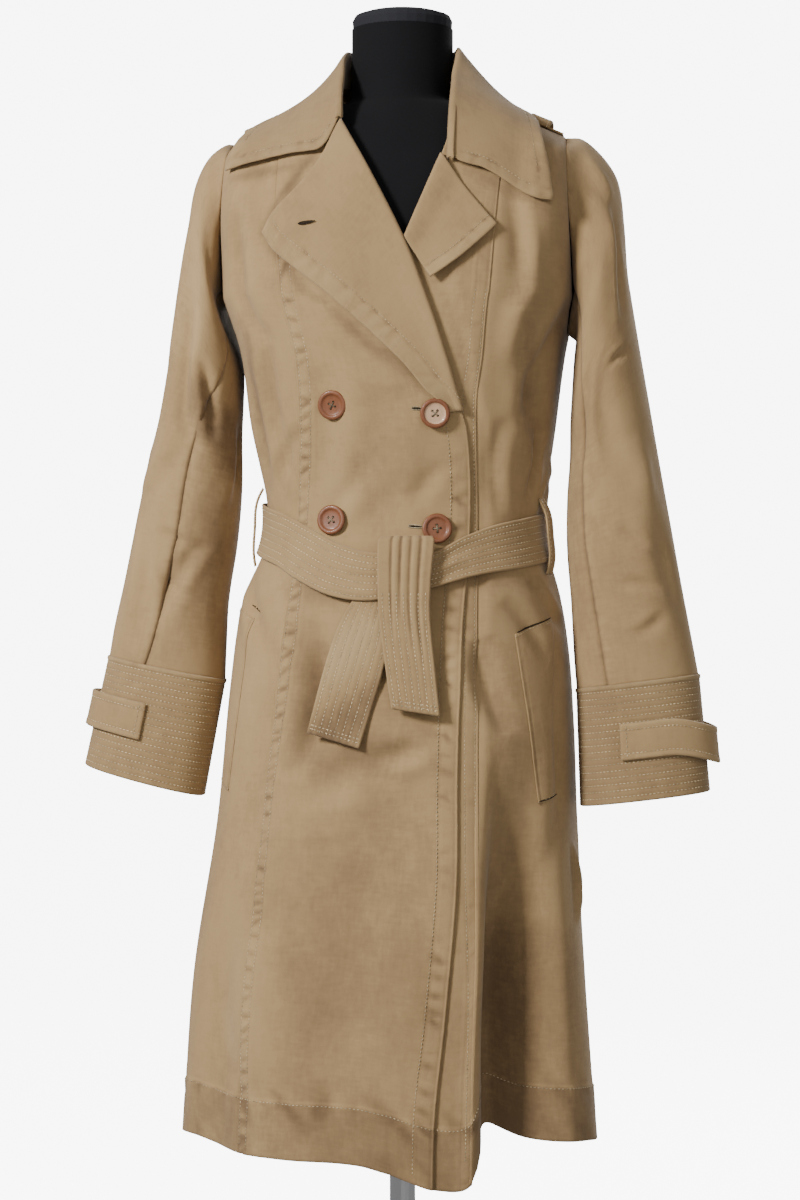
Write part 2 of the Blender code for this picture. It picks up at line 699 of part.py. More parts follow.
def ring_point(side, ring, angle, out=0.0):
    """Point of a sleeve's ring: angle 0 is its outer side, 90 its front, 180 the body's side."""
    outer = Vector((side * ring.outer_x, -ring.forward, ring.outer_z))
    inner = Vector((side * ring.inner_x, -ring.forward, ring.inner_z))
    centre = (outer + inner) / 2.0
    reach = (outer - inner) / 2.0
    turned = math.radians(angle)
    cosine = power(math.cos(turned), 2.0 / SLEEVE_ROUND)
    sine = power(math.sin(turned), 2.0 / SLEEVE_ROUND)
    reach = reach * (1.0 + out / reach.length)
    return centre + reach * cosine + Vector((0, -(ring.half_depth + out) * sine, 0))


def armhole_point(side, angle):
    """Point of the armhole's edge that meets the sleeve at this angle of its head."""
    wanted = mix(UNDERARM[side], SHOULDER_CLIMB, 0.5 + 0.5 * math.cos(math.radians(angle)))
    low_z = plain_point(side * 90.0, UNDERARM[side]).z
    high_z = plain_point(armhole_turn(side, SHOULDER_CLIMB), SHOULDER_CLIMB).z
    height = mix(low_z, high_z, (wanted - UNDERARM[side]) / (SHOULDER_CLIMB - UNDERARM[side]))
    low, high = UNDERARM[side], SHOULDER_CLIMB
    for _ in range(24):
        middle = (low + high) / 2.0
        if plain_point(armhole_turn(side, middle), middle).z < height:
            low = middle
        else:
            high = middle
    point = plain_point(armhole_turn(side, low), low)
    if math.sin(math.radians(angle)) < 0:
        turn = side * 180.0 - armhole_turn(side, low)
        point = plain_point(turn, low)
    return point + Vector((side * SLEEVE_GAP[side], 0, 0))


UPPER_COLUMNS, UNDER_COLUMNS = 12, 9


def sleeve_angles(ring):
    """Angles round the whole sleeve, from its back seam over the front seam and back."""
    upper = spread(BACK_SEAM, ring.seam, UPPER_COLUMNS)
    under = spread(ring.seam, 360.0 + BACK_SEAM, UNDER_COLUMNS)
    return upper + under[1:-1]


def make_sleeve(side, rings, finish):
    """Two-piece sleeve: the upper piece over the outer side, the under piece by the body."""
    word = "right" if side < 0 else "left"
    rows = [[ring_point(side, ring, angle) for angle in sleeve_angles(ring)]
            for ring in reversed(rings)]
    rows.append([armhole_point(side, angle) for angle in sleeve_angles(rings[0])])
    normals = tube_normals(rows)
    count = len(rows[0])
    upper = list(range(UPPER_COLUMNS + 1))
    under = list(range(UPPER_COLUMNS, count)) + [0]
    for name, columns in (("upper", upper), ("under", under)):
        net = [[row[i] for i in columns] for row in rows]
        net_normals_here = [[row[i] for i in columns] for row in normals]
        wall(f"sleeve_{word}_{name}", inset_edges(net), net_normals_here, finish)


def tube_normals(rows):
    """Normals of a closed tube of rings, pointing away from its middle."""
    normals = net_normals(rows, closed=True)
    middle = len(rows) // 2
    centre = sum(rows[middle], Vector()) / len(rows[middle])
    if normals[middle][0].dot(rows[middle][0] - centre) < 0.0:
        normals = [[-normal for normal in line] for line in normals]
    return normals


def cuff_ring(side, share, rings):
    return mix_ring(CUFF_END[side], rings[-1], share)


def make_cuff(side, rings, finish):
    word = "right" if side < 0 else "left"
    angles = spread(0.0, 360.0, 24)[:-1]
    rows = []
    for share in (0.0, 0.33, 0.66, 1.0):
        ring = cuff_ring(side, share, rings)
        row = [ring_point(side, ring, angle, 0.0006) for angle in angles]
        if share == 1.0:
            row = [point + Vector((0, 0, -0.0006)) for point in row]
        rows.append(row)
    return wall(f"cuff_{word}", rows, tube_normals(rows), finish, CUFF_CLOTH, closed=True)


Strap = namedtuple("Strap", "start end low high")
CUFF_STRAPS = {-1: Strap(86.0, -75.0, 0.36, 0.67), 1: Strap(104.0, -75.0, 0.36, 0.66)}
STRAP_DROOP = {-1: 0.0, 1: 0.13}  # how far its outer bend hangs down, as a share of the cuff
STRAP_STAND_OFF = {-1: 0.0045, 1: 0.0085}
STRAP_THICKNESS = 0.0026


def make_cuff_strap(side, rings, finish):
    """Strap over the cuff's outer side; it stands away from the cuff round the outer edge."""
    word = "right" if side < 0 else "left"
    strap = CUFF_STRAPS[side]
    rows = []
    for share in (strap.low, strap.high):
        row = []
        for angle in spread(strap.start, strap.end, 16):
            bend = ease(1.0 - abs(angle) / 70.0)
            ring = cuff_ring(side, share - STRAP_DROOP[side] * bend, rings)
            away = 0.0006 + STRAP_THICKNESS + LAYER + STRAP_STAND_OFF[side] * bend
            row.append(ring_point(side, ring, angle, away))
        rows.append(row)
    centre = ring_point(side, cuff_ring(side, 0.5, rings), 180.0)
    return cloth(f"cuff_strap_{word}", rows, finish, STRAP_THICKNESS,
                 away_from=lambda point: centre)


# ---- belt -----------------------------------------------------------------------------------

BeltMark = namedtuple("BeltMark", "turn height half_width out")
BELT = [
    BeltMark(-180, 1.030, 0.0235, 0.0048),
    BeltMark(-120, 1.030, 0.0235, 0.0048),
    BeltMark(-90, 1.030, 0.0240, 0.0056),
    BeltMark(-50, 1.018, 0.0240, 0.0056),
    BeltMark(-32, 1.003, 0.0240, 0.0058),
    BeltMark(-15, 0.986, 0.0232, 0.0092),
    BeltMark(-3, 0.980, 0.0210, 0.0096),
    BeltMark(12, 0.986, 0.0150, 0.0092),
    BeltMark(26, 1.000, 0.0185, 0.0064),
    BeltMark(45, 1.010, 0.0215, 0.0050),
    BeltMark(90, 1.022, 0.0225, 0.0045),
    BeltMark(140, 1.028, 0.0235, 0.0048),
    BeltMark(180, 1.030, 0.0235, 0.0048),
]


def belt_point(turn, share, out=0.0):
    """Point of the belt's outer side, share -1 at its lower edge and 1 at its upper edge."""
    height = read(BELT, "height", turn) + share * read(BELT, "half_width", turn)
    return coat_point(turn, height, read(BELT, "out", turn) + out)


def make_belt(finish):
    turns = spread(-180.0, 180.0, 48)[:-1]
    rows = [[belt_point(turn, share) for turn in turns] for share in (-1.0, 0.0, 1.0)]
    return cloth("belt", rows, finish, BELT_THICKNESS, closed=True)


LOOP_CLOTH = 0.0020
BeltLoop = namedtuple("BeltLoop", "turn half_width low high bow")
BELT_LOOPS = {-1: BeltLoop(-80.0, 0.0050, 0.9920, 1.0680, 0.0110),
              1: BeltLoop(74.0, 0.0070, 0.9840, 1.0560, 0.0105)}


def make_belt_loops(finish):
    """Narrow loop at each side, from the cloth above the belt, over it and back below."""
    for side, word in ((-1, "right"), (1, "left")):
        loop = BELT_LOOPS[side]
        rows = []
        for j in range(13):
            share = j / 12.0
            height = mix(loop.low, loop.high, share)
            out = LOOP_CLOTH + 0.0005 + loop.bow * (1.0 - abs(2.0 * share - 1.0) ** 3.0)
            middle = coat_point(loop.turn, height, out)
            around = (coat_point(loop.turn + 2.0, height, out) - middle).normalized()
            rows.append([middle - around * loop.half_width, middle + around * loop.half_width])
        cloth(f"belt_loop_{word}", rows, finish, LOOP_CLOTH)


# A belt end hanging down the front: its middle line and half width, from the top down.
TailMark = namedtuple("TailMark", "way x height half_width out lean")
FRONT_TAIL = [
    TailMark(0.00, 0.0165, 1.0180, 0.0225, 0.0150, 0.0),
    TailMark(0.08, 0.0163, 1.0120, 0.0240, 0.0192, 0.0),
    TailMark(0.25, 0.0155, 0.9800, 0.0230, 0.0196, 0.0),
    TailMark(0.42, 0.0160, 0.9450, 0.0220, 0.0160, 0.0),
    TailMark(0.70, 0.0212, 0.9000, 0.0215, 0.0130, 3.0),
    TailMark(1.00, 0.0270, 0.8560, 0.0210, 0.0125, 9.0),
]
BACK_TAIL = [
    TailMark(0.00, -0.0110, 0.9640, 0.0165, 0.0056, 20.0),
    TailMark(0.35, -0.0235, 0.9200, 0.0250, 0.0062, 22.0),
    TailMark(1.00, -0.0490, 0.8300, 0.0245, 0.0066, 16.0),
]
KNOT = [(-0.0050, 0.0370), (0.9700, 1.0040)]  # x and height that the knot's folds fill
KNOT_OUT = 0.0148
KNOT_THICKNESS = 0.0046


def tail_net(marks, across, down):
    net = []
    for j in range(down + 1):
        way = j / down
        half = read(marks, "half_width", way)
        lean = math.radians(read(marks, "lean", way))
        middle = (read(marks, "x", way), read(marks, "height", way))
        line = []
        for i in range(across + 1):
            reach = half * (2.0 * i / across - 1.0)
            x = middle[0] + reach * math.cos(lean)
            height = middle[1] - reach * math.sin(lean)
            line.append(on_front(x, height, read(marks, "out", way)))
        net.append(line)
    return net


def make_belt_ends(finish):
    """Knot's folded layers, then the two ends."""
    (left, right), (low, high) = KNOT
    net = [[on_front(mix(left, right, i / 4.0), mix(high, low, j / 4.0), KNOT_OUT)
            for i in range(5)] for j in range(5)]
    cloth("belt_knot", net, finish, KNOT_THICKNESS)
    cloth("belt_tail_front", tail_net(FRONT_TAIL, 4, 12), finish, BELT_THICKNESS)
    cloth("belt_tail_back", tail_net(BACK_TAIL, 4, 8), finish, BELT_THICKNESS)


# ---- small parts ----------------------------------------------------------------------------

def disc_profile():
    """Half outline of a button: dished face, rounded rim, flat back."""
    r, t = BUTTON_RADIUS, BUTTON_THICKNESS
    return [(0.0, 0.60 * t), (0.60 * r, 0.60 * t), (0.74 * r, 0.98 * t), (0.90 * r, t),
            (r, 0.60 * t), (0.97 * r, 0.18 * t), (0.70 * r, 0.0), (0.0, 0.0)]


Button = namedtuple("Button", "name x height out")
BUTTONS = [
    Button("button_upper_right", -0.0540, 1.1420, 0.0006),
    Button("button_upper_left", 0.0430, 1.1340, 0.0034),
    Button("button_lower_right", -0.0550, 1.0350, 0.0012),
    Button("button_lower_left", 0.0440, 1.0265, 0.0012),
]


def make_buttons():
    brown = material("button_brown", BUTTON_BROWN, 0.4)
    cream = material("button_cream", BUTTON_CREAM, 0.4)
    for button in BUTTONS:
        turn, climb = front_place(button.x, button.height)
        normal = outward(turn, climb)
        mesh = bpy.data.meshes.new(button.name)
        profile = disc_profile()
        edges = [(i, i + 1) for i in range(len(profile) - 1)]
        mesh.from_pydata([(x, 0.0, z) for x, z in profile], edges, [])
        finish = cream if button.name == "button_upper_left" else brown
        made = add_object(button.name, mesh, finish)
        made.location = coat_point(turn, climb, button.out)
        made.rotation_mode = "QUATERNION"
        made.rotation_quaternion = normal.to_track_quat("Z", "Y")
        screw = made.modifiers.new("turned", "SCREW")
        screw.steps = screw.render_steps = 20
        screw.use_merge_vertices = True
        screw.merge_threshold = 0.0001


WELTS = {  # corners: inner top, outer top, outer bottom, inner bottom, as x and height
    -1: [(-0.1365, 0.9430), (-0.1535, 0.9530), (-0.1690, 0.7850), (-0.1580, 0.7780)],
    1: [(0.1160, 0.9278), (0.1481, 0.9440), (0.1537, 0.7751), (0.1410, 0.7690)],
}


def make_welts(finish):
    """Slanted pocket welt on each side panel."""
    for side, word in ((-1, "right"), (1, "left")):
        inner_top, outer_top, outer_bottom, inner_bottom = WELTS[side]
        top, bottom = [inner_top, outer_top], [inner_bottom, outer_bottom]
        start, end = [inner_top, inner_bottom], [outer_top, outer_bottom]
        net = [[on_front(x, height, 0.0028) for x, height in line]
               for line in coons((top, bottom, start, end), 3, 8)]
        cloth(f"pocket_welt_{word}", net, finish, 0.0018)


EPAULETTE = {"start": 0.104, "end": 0.1550, "middle": 0.003, "half_width": 0.0135,
             "out": 0.0028}
KEEPER = {"half_width": 0.0175, "arch": 0.0075}
KEEPER_SPAN = {-1: (0.1405, 0.1520), 1: (0.1310, 0.1470)}  # from x to x, by side
STRAP_CLOTH = 0.0022


def shoulder_point(side, x, y, out):
    turn, climb = plan_place(side * x, y)
    return plain_point(turn, climb) + outward(turn, climb) * out


def make_epaulettes(finish):
    """Strap along each shoulder, from under the collar to the armhole, and its keeper."""
    for side, word in ((-1, "right"), (1, "left")):
        strap = []
        for x in spread(EPAULETTE["start"], EPAULETTE["end"], 6):
            half, middle = EPAULETTE["half_width"], EPAULETTE["middle"]
            strap.append([shoulder_point(side, x, y, EPAULETTE["out"])
                          for y in spread(middle - half, middle + half, 4)])
        cloth(f"epaulette_{word}", strap, finish, STRAP_CLOTH)
        band = []
        for x in KEEPER_SPAN[side]:
            row = []
            for share in spread(-1.0, 1.0, 10):
                out = 0.0006 + STRAP_CLOTH + KEEPER["arch"] * (1.0 - abs(share) ** 4.0)
                y = EPAULETTE["middle"] + share * KEEPER["half_width"]
                row.append(shoulder_point(side, x, y, out))
            band.append(row)
        cloth(f"epaulette_keeper_{word}", band, finish, STRAP_CLOTH)


# ---- the dress form and its stand -----------------------------------------------------------

Girth = namedtuple("Girth", "height width front back")
FORM = [
    Girth(0.760, 0.128, 0.090, 0.098),
    Girth(0.790, 0.139, 0.098, 0.106),
    Girth(0.860, 0.144, 0.102, 0.110),
    Girth(0.940, 0.134, 0.096, 0.098),
    Girth(1.040, 0.112, 0.082, 0.080),
    Girth(1.130, 0.128, 0.094, 0.088),
    Girth(1.200, 0.140, 0.104, 0.098),
    Girth(1.250, 0.150, 0.106, 0.102),
]
NECK_FLARE = 0.014  # how much wider the neck's foot is than the neck
FORM_CLEAR = 0.0064  # below the coat's outer surface at the shoulders, back
FORM_SINK = 0.0056  # and front


def surface_depth(x, height, front):
    """How far the coat's outside reaches forward or back at this x and height."""
    here = section(min(height, CHEST_LINE))
    width = here.right if x < 0 else here.left
    depth = here.front if front else here.back
    bend = squareness(height)
    flat = 1.0 - clamp(abs(x) / width) ** bend
    if height > CHEST_LINE:
        share = clamp((height - CHEST_LINE) / (shoulder_height(x) - CHEST_LINE))
        depth *= (1.0 - share ** SQUARENESS) ** (1.0 / SQUARENESS)
    return depth * max(flat, 0.0) ** (1.0 / bend)


def form_reach(turn, height):
    """Distance of the form's surface from its axis, in a direction and at a height."""
    angle = math.radians(turn)
    sine, cosine = math.sin(angle), math.cos(angle)
    at = min(height, CHEST_LINE)
    width = read(FORM, "width", at)
    depth = read(FORM, "front" if cosine > 0 else "back", at)
    oval = (abs(sine / width) ** 2.2 + abs(cosine / depth) ** 2.2) ** (-1.0 / 2.2)
    if height <= 1.20:
        return oval
    sunk = FORM_SINK if cosine > 0.02 else FORM_CLEAR
    low, high = 0.0, 0.30
    for _ in range(30):
        middle = (low + high) / 2.0
        x = middle * sine
        if middle * abs(cosine) < surface_depth(x, height + sunk, cosine > 0) and abs(x) < 0.152:
            low = middle
        else:
            high = middle
    inside = max(low - sunk, 0.0)
    return mix(oval, inside, ease((height - 1.20) / 0.08))


def neck_reach(height):
    flare = clamp((1.462 - height) / 0.045)
    return NECK_RADIUS + NECK_FLARE * flare ** 2.5


def make_form():
    """Torso and neck in one smooth body, then the cap, pole and base."""
    jersey = material("jersey", JERSEY, 0.95)
    steps = 36
    heights = [0.760, 0.775, 0.800, 0.860, 0.920, 0.980, 1.040, 1.090, 1.140, 1.190, 1.230,
               1.270, 1.310, 1.345, 1.372, 1.390, 1.403, 1.414, 1.424, 1.434, 1.444, 1.462,
               NECK_TOP]
    rows = []
    for height in heights:
        row = []
        for i in range(steps):
            turn = 360.0 * i / steps
            reach = max(form_reach(turn, height), neck_reach(height))
            angle = math.radians(turn)
            row.append(Vector((reach * math.sin(angle), -reach * math.cos(angle), height)))
        rows.append(row)
    points = [tuple(point) for row in rows for point in row]
    faces = []
    for j in range(len(rows) - 1):
        for i in range(steps):
            k = (i + 1) % steps
            faces.append((j * steps + i, j * steps + k, (j + 1) * steps + k, (j + 1) * steps + i))
    faces.append(tuple(range(steps))[::-1])
    top = (len(rows) - 1) * steps
    faces.append(tuple(top + i for i in range(steps)))
    mesh = bpy.data.meshes.new("form_torso")
    mesh.from_pydata(points, [], faces)
    add_object("form_torso", mesh, jersey)


def turned(name, profile, steps, finish):
    """Body turned round the axis from a half outline that runs down its outer side."""
    mesh = bpy.data.meshes.new(name)
    edges = [(i, i + 1) for i in range(len(profile) - 1)]
    mesh.from_pydata([(x, 0.0, z) for x, z in profile], edges, [])
    made = add_object(name, mesh, finish)
    screw = made.modifiers.new("turned", "SCREW")
    screw.steps = screw.render_steps = steps
    screw.use_merge_vertices = True
    screw.merge_threshold = 0.0001
    return made


def make_stand():
    cap_top = 1.528
    cap_foot = NECK_TOP + 0.0003
    turned("form_cap", [(0.0, cap_top), (0.037, cap_top), (0.0460, cap_top - 0.003),
                        (0.0486, cap_top - 0.008), (0.0480, cap_foot), (0.0, cap_foot)], 32,
           material("jersey_cap", JERSEY_CAP, 0.9))
    steel = material("steel", STEEL, 0.35, 1.0)
    pole_top = FORM_BOTTOM - 0.0003
    turned("stand_pole", [(0.0, pole_top), (POLE_RADIUS, pole_top),
                          (POLE_RADIUS, BASE_THICKNESS + 0.0003),
                          (0.0, BASE_THICKNESS + 0.0003)], 20, steel)
    turned("stand_base", [(0.0, BASE_THICKNESS), (BASE_RADIUS - 0.004, BASE_THICKNESS),
                          (BASE_RADIUS, BASE_THICKNESS - 0.004), (BASE_RADIUS, 0.0015),
                          (BASE_RADIUS - 0.0015, 0.0), (0.0, 0.0)], 48, steel)


# ---- all together ---------------------------------------------------------------------------

def clear_scene():
    for old in list(bpy.data.objects):
        bpy.data.objects.remove(old, do_unlink=True)


def main():
    clear_scene()
    home = bpy.data.collections.new("trench_coat")
    bpy.context.scene.collection.children.link(home)
    make_body()
    light = material("twill_turned", TWILL_LIGHT, 0.85)
    make_lapel("lapel_right", RIGHT_LAPEL, TUCK + 0.0002, 8, 14, light)
    make_lapel("lapel_left", LEFT_LAPEL, TUCK + 0.0002, 6, 6, light)
    make_collar(light)
    twill = material("twill", TWILL, 0.85)
    for side, rings in ((-1, SLEEVE_RIGHT), (1, SLEEVE_LEFT)):
        make_sleeve(side, rings, twill)
        make_cuff(side, rings, light)
        make_cuff_strap(side, rings, twill)
    make_belt(light)
    make_belt_loops(twill)
    make_belt_ends(light)
    make_buttons()
    make_welts(twill)
    make_epaulettes(light)
    make_form()
    make_stand()


main()
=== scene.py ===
"""Belted trench coat on a limbless dress form: its cloth, sewing and buttons, and the studio.

Metres, +Z up. The coat faces -Y and the wearer's right is -X. A place on the coat's outer surface
has a turn, in degrees round the body from centre front, and a climb, its height up to the chest
line and from there how far the cloth has gone up and over the shoulder.
"""

import math
from collections import namedtuple

import bpy
import numpy as np
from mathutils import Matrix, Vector


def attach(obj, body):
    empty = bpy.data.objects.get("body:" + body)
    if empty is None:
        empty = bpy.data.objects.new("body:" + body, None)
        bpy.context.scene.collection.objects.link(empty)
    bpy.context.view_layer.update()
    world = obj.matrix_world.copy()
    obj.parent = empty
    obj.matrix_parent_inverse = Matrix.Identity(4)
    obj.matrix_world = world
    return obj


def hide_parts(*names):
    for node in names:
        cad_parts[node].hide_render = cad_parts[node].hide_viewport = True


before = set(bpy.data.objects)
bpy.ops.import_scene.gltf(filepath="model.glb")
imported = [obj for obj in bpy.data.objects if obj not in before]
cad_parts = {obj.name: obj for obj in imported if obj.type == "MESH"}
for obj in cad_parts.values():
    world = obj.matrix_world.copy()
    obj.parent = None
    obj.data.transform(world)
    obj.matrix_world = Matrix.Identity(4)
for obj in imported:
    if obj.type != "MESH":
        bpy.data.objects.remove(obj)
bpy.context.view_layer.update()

bl_info = {
    "name": "Trench coat on a dress form",
    "version": (1, 0, 0),
    "blender": (4, 5, 0),
    "location": "View3D > Sidebar > Trench Coat",
    "description": "Builds a belted trench coat, its sewing and its dress form",
    "category": "Object",
}


def table(kind, rows):
    """Rows of a table, each with its kind's named columns."""
    return [kind(*row) for row in rows]


# ---- sizes ----------------------------------------------------------------------------------

WORDS = {-1: "right", 1: "left"}  # the wearer's sides
CLOTH = 0.002
LAYER = 0.0008
TUCK = CLOTH + LAYER
RIM = 0.35  # how far an edge's rounding stands out, as a share of the cloth's thickness

HEM = 0.446
HEM_SEAM = 0.499
CHEST_LINE = 1.25
SHOULDER_CLIMB = 1.45
SHOULDER_TOP = 1.4733
SHOULDER_SLOPE = 0.4286
NAPE_ROUNDING = 0.02
SQUARENESS = 2.4
CHEST_SQUARENESS = 3.0
SQUARER_FROM = 1.1
UNDERARM = {-1: 1.25, 1: 1.215}
ARMHOLE_SCOOP = 0.55
ARMHOLE_FULLNESS = 0.018
NECK_HALF_WIDTH = 0.0605
NECK_HALF_DEPTH = 0.058

Section = namedtuple("Section", "height right left front back")
SECTIONS = table(Section, [
    (0.4, 0.211, 0.186, 0.153, 0.152), (0.44, 0.209, 0.185, 0.151, 0.15),
    (0.6, 0.2, 0.176, 0.145, 0.143), (0.75, 0.178, 0.168, 0.136, 0.133),
    (0.88, 0.166, 0.164, 0.126, 0.126), (0.96, 0.154, 0.154, 0.116, 0.115),
    (1.015, 0.1315, 0.1395, 0.106, 0.101), (1.06, 0.1315, 0.14, 0.104, 0.096),
    (1.13, 0.146, 0.149, 0.112, 0.101), (1.2, 0.155, 0.158, 0.119, 0.109),
    (1.25, 0.172, 0.169, 0.119, 0.111),
])
HemMark = namedtuple("HemMark", "turn height")
HEM_LINE = table(HemMark, [
    (-180, 0.446), (-90, 0.446), (-66, 0.453), (-46, 0.446), (-20, 0.443), (-4, 0.44), (4, 0.427),
    (12, 0.418), (21, 0.422), (26, 0.454), (34, 0.472), (50, 0.458), (70, 0.452), (90, 0.446),
    (180, 0.446),
])
HEM_FADE = 0.3
Edge = namedtuple("Edge", "climb x")
TOP_FRONT_EDGE = table(Edge, [
    (0.4, 0.0445), (0.501, 0.0459), (0.59, 0.0556), (0.702, 0.0651), (0.802, 0.0655),
    (0.926, 0.0684), (1.028, 0.074), (1.117, 0.0722), (1.1527, 0.0611), (1.2244, 0.0396),
    (1.2668, 0.0142), (1.3016, -0.017), (1.3613, -0.0487), (1.4107, -0.057), (1.45, -0.0605),
])
UNDER_FRONT_EDGE = table(Edge, [
    (0.4, -0.055), (0.59, -0.068), (0.802, -0.076), (1.028, -0.084), (1.117, -0.08),
    (1.17, -0.045), (1.2244, -0.012), (1.2668, 0.0142), (1.3289, 0.048), (1.37, 0.056),
    (1.4107, 0.058), (1.45, 0.0605),
])
RIGHT_PRINCESS = table(Edge, [
    (0.4, -0.142), (0.52, -0.139), (0.598, -0.1346), (0.756, -0.122), (0.969, -0.096),
    (1.109, -0.0875), (1.184, -0.089), (1.265, -0.106), (1.35, -0.109), (1.45, -0.109),
])
LEFT_PRINCESS = table(Edge, [
    (0.4, 0.0795), (0.534, 0.0815), (0.634, 0.085), (0.747, 0.085), (0.926, 0.083), (1.04, 0.082),
    (1.147, 0.0816), (1.188, 0.0872), (1.237, 0.0919), (1.265, 0.0965), (1.35, 0.105),
    (1.45, 0.108),
])
Fold = namedtuple("Fold", "turn top_turn top depth flank")
FOLDS = table(Fold, [
    (-72, -66, 0.9, 0.004, 11), (-51, -48, 0.82, -0.009, 9), (-25, -20, 0.86, 0.006, 12),
    (72, 74, 0.76, 0.01, 12), (-106, -104, 0.88, -0.01, 10), (-128, -126, 0.92, 0.012, 11),
    (-152, -154, 0.94, -0.012, 11), (-176, -178, 0.96, 0.012, 12), (158, 160, 0.94, -0.011, 11),
    (134, 136, 0.92, 0.012, 11), (108, 107, 0.86, -0.009, 11),
])
VALLEY_TOP = 0.86
VALLEY_FULL = 0.56
VALLEY_DEPTH = 0.058
VALLEY_STEEP = 9.0
VALLEY_FLAT = 5.0
VALLEY_SLOW = 26.0

# ---- creases, placed one by one -------------------------------------------------------------

# A soft trough (negative depth) or ridge from one place to another. Front ones are in x and
# height; side and back ones in turn and climb; sleeve ones in degrees round the sleeve and
# share of its length from the cuff.
Crease = namedtuple("Crease", "x0 y0 x1 y1 depth width")
FRONT_CREASES = table(Crease, [
    (-0.004, 1.16, -0.01, 1.015, -0.0026, 0.013), (-0.034, 1.19, -0.038, 1.03, 0.0014, 0.016),
    (-0.122, 1.222, -0.098, 1.075, -0.0028, 0.012), (-0.112, 1.062, -0.082, 1.122, -0.0016, 0.008),
    (-0.06, 1.04, -0.02, 1.1, -0.0012, 0.01), (0.02, 1.045, 0.052, 1.09, -0.001, 0.008),
    (-0.148, 1.33, -0.12, 1.2, -0.0026, 0.013), (-0.09, 1.372, -0.096, 1.27, -0.0012, 0.009),
    (-0.018, 0.812, 0.032, 0.828, -0.0026, 0.009), (-0.084, 0.945, -0.056, 0.765, -0.0032, 0.017),
    (-0.03, 0.88, -0.02, 0.76, 0.0016, 0.016), (0.008, 0.818, -0.012, 0.67, -0.002, 0.02),
    (-0.05, 0.735, 0.012, 0.58, 0.0018, 0.026), (-0.112, 0.69, -0.06, 0.52, -0.0018, 0.02),
    (0.086, 0.925, 0.112, 0.835, -0.0042, 0.011), (0.104, 0.96, 0.146, 0.9, -0.0018, 0.01),
    (0.124, 1.05, 0.14, 1.125, -0.0024, 0.008), (0.1, 1.04, 0.104, 1.13, -0.0016, 0.01),
    (0.147, 1.025, 0.15, 1.11, -0.002, 0.006), (0.13, 1.036, 0.153, 1.09, 0.0012, 0.006),
    (0.166, 1.245, 0.12, 1.12, -0.0024, 0.013), (0.11, 1.345, 0.12, 1.23, -0.0018, 0.011),
    (0.137, 1.3, 0.11, 1.18, 0.0014, 0.012), (0.166, 0.73, 0.169, 0.65, 0.0024, 0.005),
    (0.128, 0.98, 0.158, 0.93, -0.0014, 0.008), (-0.14, 0.985, -0.118, 0.9, -0.002, 0.01),
    (-0.1, 0.96, -0.09, 0.88, 0.0012, 0.009), (-0.064, 0.94, -0.09, 0.79, -0.003, 0.014),
    (-0.008, 0.91, -0.026, 0.79, -0.0024, 0.012), (-0.075, 0.8, 0.012, 0.792, -0.0018, 0.018),
    (0.04, 0.925, 0.052, 0.82, -0.0014, 0.012), (-0.138, 1.18, -0.124, 1.06, -0.002, 0.013),
    (0.128, 1.215, 0.14, 1.08, -0.0022, 0.015), (-0.066, 0.74, -0.03, 0.555, -0.0026, 0.026),
    (-0.128, 0.65, -0.112, 0.5, 0.0018, 0.018), (0.026, 0.7, 0.034, 0.52, -0.0016, 0.016),
    (-0.108, 0.88, -0.128, 0.7, -0.0018, 0.016), (0.148, 0.88, 0.152, 0.7, -0.0016, 0.011),
    (-0.024, 1.14, 0.016, 1.06, 0.0012, 0.018), (-0.078, 1.215, -0.07, 1.06, -0.0012, 0.014),
])
SIDE_CREASES = table(Crease, [
    (100, 1.1, 96, 0.94, -0.0024, 0.012), (-104, 1.11, -98, 0.96, -0.0022, 0.011),
    (122, 1.08, 128, 0.9, 0.0018, 0.014), (-126, 1.07, -131, 0.88, -0.002, 0.015),
    (158, 1.11, 164, 0.93, -0.0018, 0.013), (-160, 1.12, -150, 0.95, 0.0015, 0.015),
    (116, 1.24, 138, 1.12, -0.0026, 0.014), (-118, 1.25, -140, 1.13, -0.0024, 0.013),
    (150, 1.33, 172, 1.24, -0.0014, 0.017), (-152, 1.31, -170, 1.2, -0.0016, 0.016),
    (108, 0.86, 118, 0.64, -0.002, 0.02), (-110, 0.84, -121, 0.66, -0.0022, 0.018),
    (-168, 0.8, -176, 0.6, 0.0018, 0.022),
])
